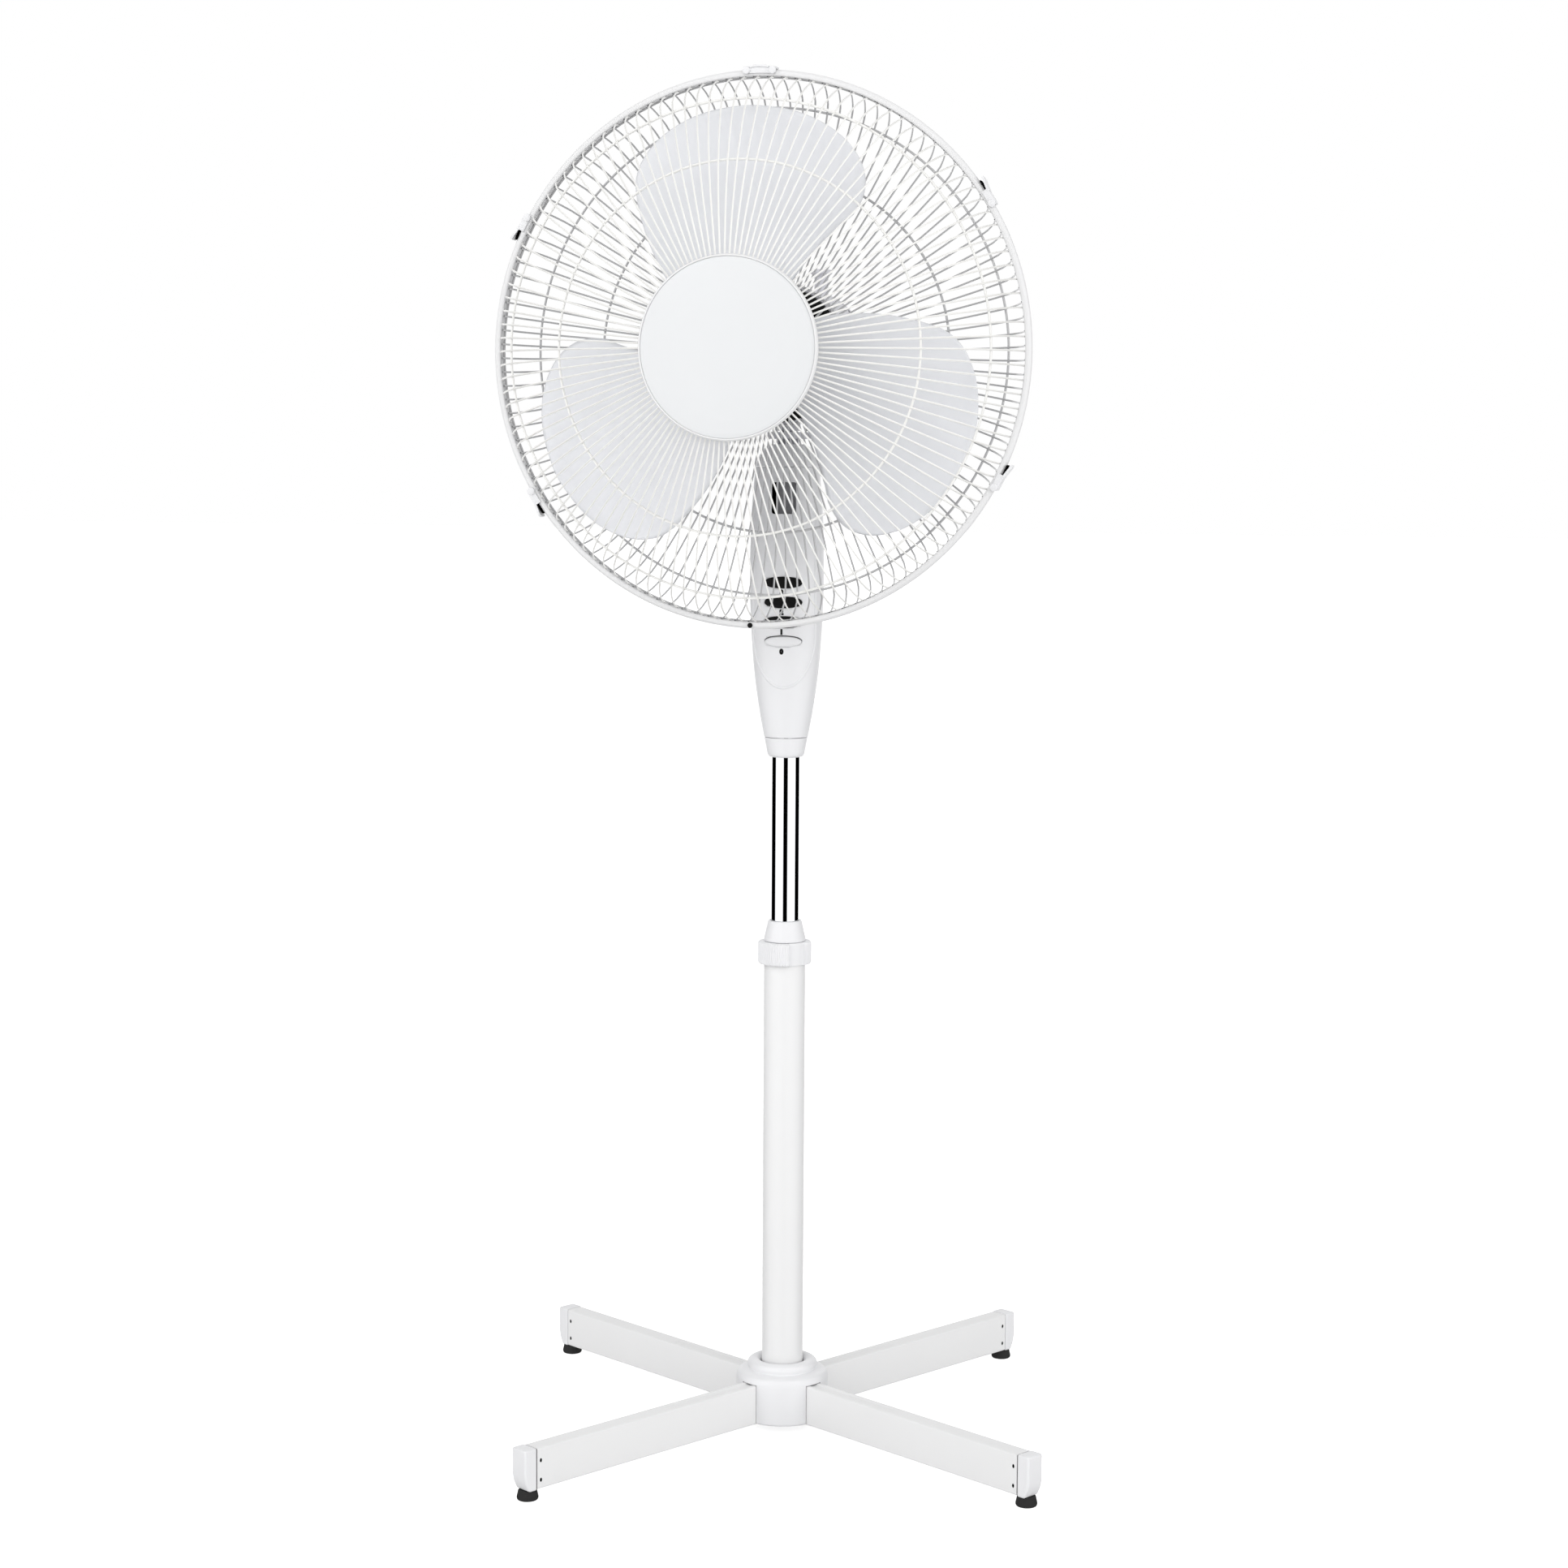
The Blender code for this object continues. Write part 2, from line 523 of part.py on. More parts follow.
def build_motor(head, upright, plastic, metal, black):
    """Motor plate, stator, gear case, bearings and the rear cover."""
    plate = ((SHAFT_RADIUS + 0.0006, 0.0345), (0.0500, 0.0345), (0.0500, 0.0405), (0.0200, 0.0405),
             (0.0200, 0.0600), (0.0083, 0.0600), (0.0083, 0.0460), (SHAFT_RADIUS + 0.0006, 0.0460))
    add_part("motor_front_plate", turned_mesh(plate, 24), metal, head)
    stator = ((0.0212, -0.0040), (0.0240, -0.0150), (0.0360, -0.0150), (0.0370, -0.0040), (0.0450, -0.0040),
              (0.0450, 0.0220), (0.0370, 0.0220), (0.0360, 0.0320), (0.0240, 0.0320), (0.0212, 0.0220))
    add_part("stator", turned_mesh(stator), metal, head)
    bearing = tube_profile(SHAFT_RADIUS + GAP, 0.0080, -0.0050, 0.0050)
    add_part("bearing_front", turned_mesh(bearing, 24), metal, head, Matrix.Translation((0, 0, 0.0525)))
    add_part("bearing_rear", turned_mesh(bearing, 24), metal, head, Matrix.Translation((0, 0, -0.0310)))

    case = add_part("gear_case", box_mesh((-0.0200, 0.0240, 0.8740), (0.0200, 0.1000, 0.9300)), black, upright)
    bevel(case, 0.003, 2)
    tail = box_mesh((-0.0150, 0.0900, 0.8900), (0.0150, 0.1240, 0.9280))
    boolean(case, "join_case_tail", tail, "UNION")
    socket = ((0, -0.0200), (0.0083, -0.0200), (0.0083, -0.0365), (0.0046, -0.0365), (0.0046, -0.0580), (0, -0.0580))
    along = Matrix.Translation((0, 0, HEAD_Z)) @ Matrix.Rotation(math.pi / 2, 4, "X")
    boolean(case, "cut_case_socket", turned_mesh(socket, 24), matrix=along)
    for place, depth in (((0, CRANK_BACK), (0.86, 0.8850)), ((0, KNOB_BACK), (0.9110, 0.94))):
        bore = turned_mesh(((0, depth[0]), (0.0034, depth[0]), (0.0034, depth[1]), (0, depth[1])), 16)
        boolean(case, f"cut_case_bore_{len(case.modifiers)}", bore, matrix=Matrix.Translation((*place, 0)))

    build_motor_cover(head, plastic)


def build_motor_cover(head, plastic):
    """Moulded cover, round over the motor and narrowing to the rear behind the swing knob."""
    steps = ((0.0330, 0.0570, 0.0570, -0.0570), (-0.0450, 0.0566, 0.0570, -0.0566), (-0.0700, 0.0520, 0.0568, -0.0545),
             (-0.0950, 0.0420, 0.0564, -0.0505), (-0.1200, 0.0306, 0.0545, -0.0440), (-0.1380, 0.0180, 0.0430, -0.0310),
             (-0.1450, 0.0060, 0.0220, -0.0110))
    rings = []
    for forward, half_width, top, bottom in steps:
        middle = (top + bottom) / 2
        ring = superellipse(half_width, (top - bottom) / 2, 2.0, 24)
        rings.append([(x, y + middle, forward) for x, y in ring])
    cover = add_part("motor_cover", loft_mesh(rings, cap_first=False), plastic, head)
    shell = cover.modifiers.new("Solidify", "SOLIDIFY")
    shell.thickness = MOTOR_WALL
    shell.offset = -1.0
    boolean(cover, "cut_cover_belly", box_mesh((-0.0230, -0.0800, -0.0850), (0.0230, -0.0350, 0.0500)))
    hole = turned_mesh(((0, 0.02), (0.0066, 0.02), (0.0066, 0.08), (0, 0.08)), 20)
    place = Matrix.Translation((0, 0, -KNOB_BACK)) @ Matrix.Rotation(-math.pi / 2, 4, "X")
    boolean(cover, "cut_cover_knob", hole, matrix=place)


def build_swing_controls(upright, metal, plastic):
    """Crank under the gear case and the pull knob on top of it."""
    crank = ((0, 0.8565), (0.0115, 0.8565), (0.0115, 0.8600), (0.0030, 0.8600), (0.0030, 0.8830), (0, 0.8830))
    place = Matrix.Translation((0, CRANK_BACK, 0))
    disc = add_part("crank", turned_mesh(crank, 24), metal, upright, place)
    pin = turned_mesh(((0, 0.8500), (0.0022, 0.8500), (0.0022, 0.8580), (0, 0.8580)), 12)
    boolean(disc, "join_crank_pin", pin, "UNION", Matrix.Translation((*crank_pin_place(), 0)))

    knob = ((0, 0.9140), (0.0030, 0.9140), (0.0030, 0.9500), (0.0060, 0.9500), (0.0060, 0.9810), (0.0090, 0.9816),
            (0.0094, 0.9832), (0.0086, 0.9848), (0, 0.9854))
    add_part("swing_knob", turned_mesh(knob, 24), plastic, upright, Matrix.Translation((0, KNOB_BACK, 0)))


# Rotor ----------------------------------------------------------------------------------------------------------


def blade_edges(radius):
    """Return a blade's trailing and leading edge angles, in degrees from its middle, at a radius."""
    rise = max(0.0, (radius - 0.150) / (BLADE_TIP - 0.150))
    trailing = (60.0 - 184.0 * (radius - 0.030)) * max(0.0, 1.0 - rise ** 2.6) ** (1.0 / 2.6)
    root = 35.0 - 9.0 * max(0.0, 0.130 - radius) / 0.065
    round_off = max(0.0, (radius - 0.135) / (BLADE_TIP - 0.135))
    leading = root * max(0.0, 1.0 - round_off ** 2.2) ** (1.0 / 2.2)
    return trailing, -leading


def blade_mesh(turn):
    """Return one thin paddle, closed with its thickness, in the head's frame."""
    shares = np.concatenate((np.linspace(0.0, 0.75, 5), 0.75 + 0.25 * np.sin(np.linspace(0.3, 0.97, 4) * math.pi / 2)))
    columns = 7
    rows = []
    for share in shares:
        radius = BLADE_ROOT + (BLADE_TIP - BLADE_ROOT) * share
        trailing, leading = blade_edges(radius)
        angles = np.radians(np.linspace(leading, trailing, columns))
        camber = 0.004 * np.sin(np.linspace(0.0, math.pi, columns))
        rise = BLADE_FORWARD + BLADE_RISE * angles + camber
        rows.append([(*polar(radius, angle + turn)[:2], forward) for angle, forward in zip(angles, rise)])
    mesh_source = bmesh.new()
    half = BLADE_THICKNESS / 2
    sheets = []
    for offset in (-half, half):
        sheets.append([[mesh_source.verts.new((x, y, z + offset)) for x, y, z in row] for row in rows])
    last = len(rows) - 1
    for sheet in sheets:
        for row in range(last):
            for column in range(columns - 1):
                mesh_source.faces.new((sheet[row][column], sheet[row][column + 1], sheet[row + 1][column + 1],
                                       sheet[row + 1][column]))
    border = [(0, column) for column in range(columns - 1)]
    border += [(row, columns - 1) for row in range(last)]
    border += [(last, column) for column in range(columns - 1, 0, -1)]
    border += [(row, 0) for row in range(last, 0, -1)]
    for (row, column), (next_row, next_column) in zip(border, border[1:] + border[:1]):
        mesh_source.faces.new((sheets[0][row][column], sheets[0][next_row][next_column],
                               sheets[1][next_row][next_column], sheets[1][row][column]))
    return mesh_source


def build_rotor(rotor, metal, clear, plastic):
    """Shaft, rotor core, the three-bladed moulding and the spinner that holds it."""
    shaft = ((0, -0.0500), (SHAFT_RADIUS, -0.0500), (SHAFT_RADIUS, 0.1460), (0, 0.1460))
    add_part("motor_shaft", turned_mesh(shaft, 20), metal, rotor)
    core = tube_profile(SHAFT_RADIUS + GAP, 0.0205, -0.0060, 0.0240)
    add_part("rotor_core", turned_mesh(core), metal, rotor)

    bore = SHAFT_RADIUS + GAP
    cup = ((bore, 0.0850), (0.0090, 0.0850), (0.0090, 0.1285), (0.0310, 0.1285), (0.0310, 0.0800),
           (HUB_CUP_RADIUS, 0.0800), (HUB_CUP_RADIUS, 0.1410), (0.0320, 0.1430), (bore, 0.1430))
    blades = add_part("blades", turned_mesh(cup, 28), clear, rotor)
    for index in range(BLADE_COUNT):
        turn = math.radians(BLADE_PHASE + index * 360.0 / BLADE_COUNT)
        boolean(blades, f"join_blade_{index}", blade_mesh(turn), "UNION")

    spinner = ((bore, 0.1434), (0.0280, 0.1434), (0.0290, 0.1460), (0.0270, 0.1530), (0.0200, 0.1590),
               (0.0100, 0.1620), (0, 0.1625), (0, 0.1480), (bore, 0.1480))
    add_part("spinner", turned_spinner(spinner), plastic, rotor)


def turned_spinner(profile):
    """Spin the spinner's open profile, which starts off the axis and has both of its axis points inside."""
    mesh_source = bmesh.new()
    verts = [mesh_source.verts.new((radius, 0.0, height)) for radius, height in profile]
    edges = [mesh_source.edges.new(pair) for pair in zip(verts, verts[1:] + verts[:1])
             if not (pair[0].co.x == 0.0 and pair[1].co.x == 0.0)]
    bmesh.ops.spin(mesh_source, geom=verts + edges, cent=(0, 0, 0), axis=(0, 0, 1), angle=math.tau, steps=24,
                   use_merge=True)
    bmesh.ops.remove_doubles(mesh_source, verts=mesh_source.verts, dist=1e-7)
    return mesh_source


# Guards ---------------------------------------------------------------------------------------------------------


def guard_mesh(stations, solid_rows):
    """Return a dome sheet of spokes and rings; the windows between them are left open."""
    mesh_source = bmesh.new()
    sector = math.tau / GUARD_SPOKES
    rows = []
    for radius, depth in stations:
        half_bar = GUARD_BAR / 2 / radius
        row = []
        for spoke in range(GUARD_SPOKES):
            middle = (spoke + 0.5) * sector
            for angle in (middle - half_bar, middle + half_bar):
                row.append(mesh_source.verts.new(polar(radius, angle, BAND_FORWARD + depth)))
        rows.append(row)
    count = 2 * GUARD_SPOKES
    for row_index in range(len(rows) - 1):
        row = rows[row_index]
        after = rows[row_index + 1]
        for here in range(count):
            there = (here + 1) % count
            if here % 2 == 0 or row_index in solid_rows:
                mesh_source.faces.new((row[here], row[there], after[there], after[here]))
    loose = [vert for vert in mesh_source.verts if not vert.link_faces]
    bmesh.ops.delete(mesh_source, geom=loose, context="VERTS")
    return mesh_source


def with_rings(stations, ring_stations):
    """Insert a partner beside each ring station, and return the stations and the rows that are solid rings."""
    path = []
    solid = set()
    for index, (radius, depth) in enumerate(stations):
        if index not in ring_stations:
            path.append((radius, depth))
            continue
        neighbour = stations[index + 1] if index + 1 < len(stations) else stations[index - 1]
        along = Vector((neighbour[0] - radius, neighbour[1] - depth)).normalized() * GUARD_BAR
        if index + 1 == len(stations):
            path.append((radius + along.x, depth + along.y))
            solid.add(len(path) - 1)
            path.append((radius, depth))
        else:
            path.append((radius, depth))
            solid.add(len(path) - 1)
            path.append((radius + along.x, depth + along.y))
    return path, solid


def add_guard(name, head, material, stations, solid_rows, thickness):
    """Link one guard as a sheet thickened about its middle."""
    guard = add_part(name, guard_mesh(stations, solid_rows), material, head)
    sheet = guard.modifiers.new("Solidify", "SOLIDIFY")
    sheet.thickness = thickness
    sheet.offset = 0.0
    return guard


def build_guards(head, wire, plastic, steel, black):
    """Front and rear guards, the cap, the band round both rims and the nut that holds the rear one."""
    stations, solid = with_rings(FRONT_GUARD, {0, 2, 3, len(FRONT_GUARD) - 1})
    add_guard("front_guard", head, wire, stations, solid, 0.0024)
    stations, solid = with_rings(REAR_GUARD[:-2], {0, 2, 3})
    stations = stations + list(REAR_GUARD[-2:])
    solid.add(len(stations) - 2)
    add_guard("rear_guard", head, wire, stations, solid, 0.0024)

    cap = ((0, 0.1010), (0.0400, 0.1000), (0.0670, 0.0978), (0.0702, 0.0968), (CAP_RADIUS, 0.0952),
           (CAP_RADIUS, 0.0934), (0.0686, 0.0934), (0.0670, 0.0954), (0.0400, 0.0978), (0, 0.0988))
    lifted = [(radius, BAND_FORWARD + depth) for radius, depth in cap]
    add_part("front_cap", turned_mesh(lifted, 40), plastic, head)

    nut = tube_profile(0.0204, 0.0330, 0.0436, 0.0520)
    add_part("guard_nut", turned_mesh(nut, 16), plastic, head)

    soft = 0.0022
    ring = ((BAND_INNER, BAND_FORWARD - BAND_HALF_DEPTH), (BAND_RADIUS - soft, BAND_FORWARD - BAND_HALF_DEPTH),
            (BAND_RADIUS, BAND_FORWARD - BAND_HALF_DEPTH + soft), (BAND_RADIUS, BAND_FORWARD + BAND_HALF_DEPTH - soft),
            (BAND_RADIUS - soft, BAND_FORWARD + BAND_HALF_DEPTH), (BAND_INNER, BAND_FORWARD + BAND_HALF_DEPTH))
    band = add_part("guard_band", turned_mesh(ring, 64), wire, head)
    screw_place = Matrix.Translation(polar(0.2166, math.radians(-91.2), BAND_FORWARD))
    hole = turned_mesh(((0, -0.02), (0.0015, -0.02), (0.0015, 0.02), (0, 0.02)), 12)
    boolean(band, "cut_band_screw", hole, matrix=screw_place)
    seat = BAND_HALF_DEPTH + GAP
    screw = ((0, -0.0060), (0.0012, -0.0060), (0.0012, seat), (0.0027, seat), (0.0027, seat + 0.0012),
             (0.0018, seat + 0.0019), (0, seat + 0.0019))
    add_part("guard_screw", turned_mesh(screw, 16), black, head, screw_place)


def clip_profile():
    """Return the clip's hooked section: radius from the band's outside, and depth from the band's plane."""
    near = BAND_HALF_DEPTH + GAP
    outer = 0.0022
    hook = -0.0035
    return ((hook, -near - 0.0016), (outer, -near - 0.0016), (outer, near + 0.0016), (hook, near + 0.0016),
            (hook, near), (0.0004, near), (0.0004, -near), (hook, -near))


def clip_place(angle):
    """Return the clip's frame on the band: X outward, Y along the rim, Z forward."""
    return around(angle) @ Matrix.Translation((BAND_RADIUS, 0, BAND_FORWARD))


def build_clips(head, plastic, black):
    """Four lever clips over the band and the fixed clip at the top with its two bosses."""
    lying = Matrix.Rotation(math.pi / 2, 4, "X")
    for index, degrees in enumerate(CLIP_ANGLES):
        place = clip_place(math.radians(degrees))
        clip = add_part(f"clip_{index}", prism_mesh(clip_profile(), -0.0065, 0.0065), plastic, head, place @ lying)
        bevel(clip, 0.0005, 1)
        lever = box_mesh((0.0012, 0.0050, -0.0060), (0.0030, 0.0165, 0.0060))
        tipped = place @ Matrix.Rotation(math.radians(-9.0), 4, "Z")
        boolean(clip, f"join_clip_{index}_lever", lever, "UNION", tipped)
    place = clip_place(math.radians(89.7))
    top = add_part("top_clip", prism_mesh(clip_profile(), -0.0130, 0.0130), plastic, head, place @ lying)
    bevel(top, 0.0005, 1)
    near = BAND_HALF_DEPTH + GAP
    for index, side in enumerate((-0.0105, 0.0105)):
        boss = turned_mesh(((0, near + 0.0004), (0.0030, near + 0.0004), (0.0030, near + 0.0030), (0, near + 0.0030)), 16)
        boolean(top, f"join_top_boss_{index}", boss, "UNION", place @ Matrix.Translation((-0.0012, side, 0)))


def build_fan():
    """Build every sub-part."""
    clear_scene()
    paint = make_material("white_paint", (0.83, 0.83, 0.84), 0.35)
    plastic = make_material("white_plastic", (0.84, 0.84, 0.86), 0.40)
    grey = make_material("grey_plastic", (0.55, 0.55, 0.58), 0.45)
    black = make_material("black_plastic", (0.02, 0.02, 0.02), 0.45)
    rubber = make_material("black_rubber", (0.015, 0.015, 0.015), 0.75)
    chrome = make_material("chrome", (0.80, 0.81, 0.83), 0.08, metallic=1.0)
    steel = make_material("steel", (0.55, 0.56, 0.58), 0.35, metallic=1.0)
    wire = make_material("painted_wire", (0.86, 0.86, 0.84), 0.35)
    clear = make_material("clear_plastic", (0.78, 0.79, 0.82), 0.25, alpha=0.85)

    base = make_frame("base_frame", around(BASE_TURN))
    pole = make_frame("pole_frame", Matrix())
    mast = make_frame("mast_frame", around(COLUMN_TURN))
    upright = make_frame("head_upright_frame", Matrix())
    head = make_frame("head_frame", Matrix.Translation((0, 0, HEAD_Z)) @ Matrix.Rotation(math.pi / 2, 4, "X"))

    build_leg_bars(base, paint)
    build_end_caps(base, plastic)
    build_feet(base, rubber)
    build_hub(base, plastic, steel)
    build_outer_pole(pole, paint, plastic)
    build_inner_pole(mast, chrome, plastic)
    build_column(mast, plastic, black, plastic, steel)
    build_neck(mast, plastic, steel)
    build_yoke(mast, grey)
    build_link(mast, steel)
    build_swing_arm(upright, grey)
    build_motor(head, upright, grey, steel, black)
    build_swing_controls(upright, steel, grey)
    build_rotor(head, steel, clear, plastic)
    build_guards(head, wire, plastic, steel, black)
    build_clips(head, plastic, black)


build_fan()
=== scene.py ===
"""Pedestal fan: the looks of a white household fan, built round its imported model.

Each sub-assembly is a class. Its sizes are dataclass fields, its meshes are surfaces worked out with numpy,
and its finishes are procedural. Everything is in metres in the model's own frame: +Z up, the head blowing
towards -Y.
"""

import logging
import math
from dataclasses import dataclass, field
from enum import Enum

import bmesh
import bpy
import numpy as np
from mathutils import Matrix, Vector


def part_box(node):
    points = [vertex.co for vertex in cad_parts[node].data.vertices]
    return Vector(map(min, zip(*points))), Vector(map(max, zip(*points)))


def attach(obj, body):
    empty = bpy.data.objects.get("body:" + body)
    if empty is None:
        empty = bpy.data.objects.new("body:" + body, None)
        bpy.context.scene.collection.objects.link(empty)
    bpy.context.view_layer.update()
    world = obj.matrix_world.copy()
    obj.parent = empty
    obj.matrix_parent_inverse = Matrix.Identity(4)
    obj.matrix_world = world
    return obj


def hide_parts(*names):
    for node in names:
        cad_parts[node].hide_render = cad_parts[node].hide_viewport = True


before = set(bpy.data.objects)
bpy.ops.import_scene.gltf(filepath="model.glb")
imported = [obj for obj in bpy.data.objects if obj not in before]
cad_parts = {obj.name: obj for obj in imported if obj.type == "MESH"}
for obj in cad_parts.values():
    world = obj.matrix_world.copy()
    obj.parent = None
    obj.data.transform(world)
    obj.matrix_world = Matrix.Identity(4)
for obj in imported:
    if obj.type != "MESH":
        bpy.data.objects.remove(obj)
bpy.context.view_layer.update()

LOG = logging.getLogger("fan")
Array = np.ndarray
Face = list[int]
Value = bpy.types.NodeSocket | float

CLEAR = 0.0003  # gap between neighbouring solids
BASE_TURN = math.radians(57.7)
COLUMN_TURN = math.radians(7.5)


# Shapes -----------------------------------------------------------------------------------------------------


@dataclass
class Shape:
    """A mesh as arrays: points in rows, and faces as lists of point numbers."""

    points: Array
    faces: list[Face]

    def moved(self, offset: tuple[float, float, float]) -> "Shape":
        """Return the shape carried by an offset."""
        return Shape(self.points + np.asarray(offset, float), self.faces)

    def turned(self, angle: float, axis: str = "Z") -> "Shape":
        """Return the shape turned by an angle in radians about an axis through the origin."""
        turn = np.array(Matrix.Rotation(angle, 3, axis))
        return Shape(self.points @ turn.T, self.faces)

    def sent(self, matrix: Matrix) -> "Shape":
        """Return the shape sent through a 4 by 4 matrix."""
        whole = np.array(matrix)
        return Shape(self.points @ whole[:3, :3].T + whole[:3, 3], self.faces)

    @staticmethod
    def joined(*parts: "Shape") -> "Shape":
        """Return several shapes as one, their faces renumbered."""
        faces: list[Face] = []
        start = 0
        for part in parts:
            faces.extend([[corner + start for corner in face] for face in part.faces])
            start += len(part.points)
        return Shape(np.concatenate([part.points for part in parts]), faces)


def grid_faces(rows: int, columns: int, wrap_rows: bool = False, wrap_columns: bool = False) -> Array:
    """Number the quads of a grid of points stored row by row.

    Args:
        rows: Number of rows.
        columns: Number of points in a row.
        wrap_rows: Join the last row to the first.
        wrap_columns: Join each row's last point to its first.

    Returns:
        One line of four point numbers for each quad.
    """
    row, column = np.meshgrid(np.arange(rows - (not wrap_rows)), np.arange(columns - (not wrap_columns)),
                              indexing="ij")
    below, beside = (row + 1) % rows, (column + 1) % columns
    corners = (row * columns + column, row * columns + beside, below * columns + beside,
               below * columns + column)
    return np.stack(corners, axis=-1).reshape(-1, 4)


def grid_shape(points: Array, wrap_rows: bool = False, wrap_columns: bool = False,
               capped: bool = False) -> Shape:
    """Skin a (rows, columns, 3) grid of points.

    Args:
        points: The grid.
        wrap_rows: Join the last row to the first.
        wrap_columns: Join each row's ends.
        capped: Close the first and last rows with one face each.

    Returns:
        The skinned shape.
    """
    rows, columns = points.shape[:2]
    faces = grid_faces(rows, columns, wrap_rows, wrap_columns).tolist()
    if capped:
        faces.append(list(range(columns)))
        faces.append(list(range((rows - 1) * columns, rows * columns)))
    return Shape(points.reshape(-1, 3), faces)


def softened(outline: Array, cut: float, steps: int = 4, closed: bool = False) -> Array:
    """Round an outline's corners.

    Each corner gives way to a quadratic curve between the two points that lie a cut away along its sides, so
    the curve is (1-t)^2 of the first, 2t(1-t) of the corner and t^2 of the second.

    Args:
        outline: Corner points in rows.
        cut: Length taken from each side, at most 0.45 of the shorter one.
        steps: Segments in each curve.
        closed: The outline's ends meet.

    Returns:
        The rounded outline.
    """
    corner = np.asarray(outline, float)
    back, fore = np.roll(corner, 1, axis=0) - corner, np.roll(corner, -1, axis=0) - corner
    back_length = np.linalg.norm(back, axis=1, keepdims=True)
    fore_length = np.linalg.norm(fore, axis=1, keepdims=True)
    reach = np.minimum(cut, 0.45 * np.minimum(back_length, fore_length))
    first, second = corner + back / back_length * reach, corner + fore / fore_length * reach
    t = np.linspace(0.0, 1.0, steps + 1)[None, :, None]
    curve = (1 - t) ** 2 * first[:, None] + 2 * t * (1 - t) * corner[:, None] + t**2 * second[:, None]
    if closed:
        return curve.reshape(-1, corner.shape[1])
    middle = curve[1:-1].reshape(-1, corner.shape[1])
    return np.concatenate((corner[:1], middle, corner[-1:]))


def smooth_curve(points: Array, count: int, lean: float = 1.0) -> Array:
    """Return a Hermite curve through points, spaced along their chords.

    Between two points the curve is the cubic whose slopes at both are the central differences there.

    Args:
        points: Points in rows.
        count: Number of points wanted.
        lean: Power applied to the even spacing; above 1 the points crowd towards the start.

    Returns:
        Points along the curve.
    """
    points = np.asarray(points, float)
    chord = np.concatenate(([0.0], np.cumsum(np.linalg.norm(np.diff(points, axis=0), axis=1))))
    return smooth_values(chord, points, chord[-1] * np.linspace(0.0, 1.0, count) ** lean)


def smooth_values(places: Array, values: Array, wanted: Array) -> Array:
    """Return cubic Hermite values at wanted places, with central-difference slopes at the given ones."""
    places, values, wanted = np.asarray(places, float), np.asarray(values, float), np.asarray(wanted, float)
    flat = values.ndim == 1
    table = values[:, None] if flat else values
    slopes = np.gradient(table, places, axis=0)
    index = np.clip(np.searchsorted(places, wanted) - 1, 0, len(places) - 2)
    span = (places[index + 1] - places[index])[:, None]
    t = (wanted[:, None] - places[index][:, None]) / span
    ease = t * t * (3.0 - 2.0 * t)
    result = table[index] * (1 - ease) + table[index + 1] * ease
    result += slopes[index] * span * (t**3 - 2 * t**2 + t) + slopes[index + 1] * span * (t**3 - t**2)
    return result[:, 0] if flat else result


def superellipse(half_width: Array, half_height: Array, power: Array, angles: Array) -> tuple[Array, Array]:
    """Return the X and Y of |x/a|^n + |y/b|^n = 1 at the given angles; the sizes may be arrays."""
    cosine, sine = np.cos(angles), np.sin(angles)
    across = half_width * np.sign(cosine) * np.abs(cosine) ** (2.0 / power)
    up = half_height * np.sign(sine) * np.abs(sine) ** (2.0 / power)
    return across, up


def circle(count: int) -> Array:
    """Return evenly spaced angles round a circle."""
    return np.linspace(0.0, math.tau, count, endpoint=False)


def lathe(profile: Array, steps: int = 96) -> Shape:
    """Turn a closed profile of (radius, height) points about Z: each point becomes r cos a, r sin a, h."""
    profile = np.asarray(profile, float)
    angles = circle(steps)
    points = np.empty((len(profile), steps, 3))
    points[..., 0] = profile[:, :1] * np.cos(angles)
    points[..., 1] = profile[:, :1] * np.sin(angles)
    points[..., 2] = profile[:, 1:]
    return grid_shape(points, wrap_rows=True, wrap_columns=True)


def tube_along(path: Array, section: Array, level: Array, closed: bool = False) -> Shape:
    """Carry a flat section along a path.

    At each point the section's first axis is level x tangent and its second is tangent x that first axis.

    Args:
        path: Points in rows.
        section: Section points, (first, second) in rows.
        level: A direction, or one for each point, never along the path.
        closed: The path's ends meet.

    Returns:
        The swept shape, closed at both ends.
    """
    tangent = np.gradient(path, axis=0)
    if closed:
        tangent = np.roll(path, -1, axis=0) - np.roll(path, 1, axis=0)
    tangent /= np.linalg.norm(tangent, axis=1, keepdims=True)
    first = np.cross(np.broadcast_to(level, path.shape), tangent)
    first /= np.linalg.norm(first, axis=1, keepdims=True)
    second = np.cross(tangent, first)
    points = path[:, None] + section[None, :, :1] * first[:, None] + section[None, :, 1:] * second[:, None]
    return grid_shape(points, wrap_rows=closed, wrap_columns=True, capped=not closed)


def round_section(radius: float, sides: int = 8) -> Array:
    """Return a circle's section."""
    return np.stack((radius * np.cos(circle(sides)), radius * np.sin(circle(sides))), axis=1)


def prism(outline: Array, low: float, high: float) -> Shape:
    """Extrude a flat outline in X and Y from low to high."""
    rows = [np.column_stack((outline, np.full(len(outline), level))) for level in (low, high)]
    return grid_shape(np.stack(rows), wrap_columns=True, capped=True)


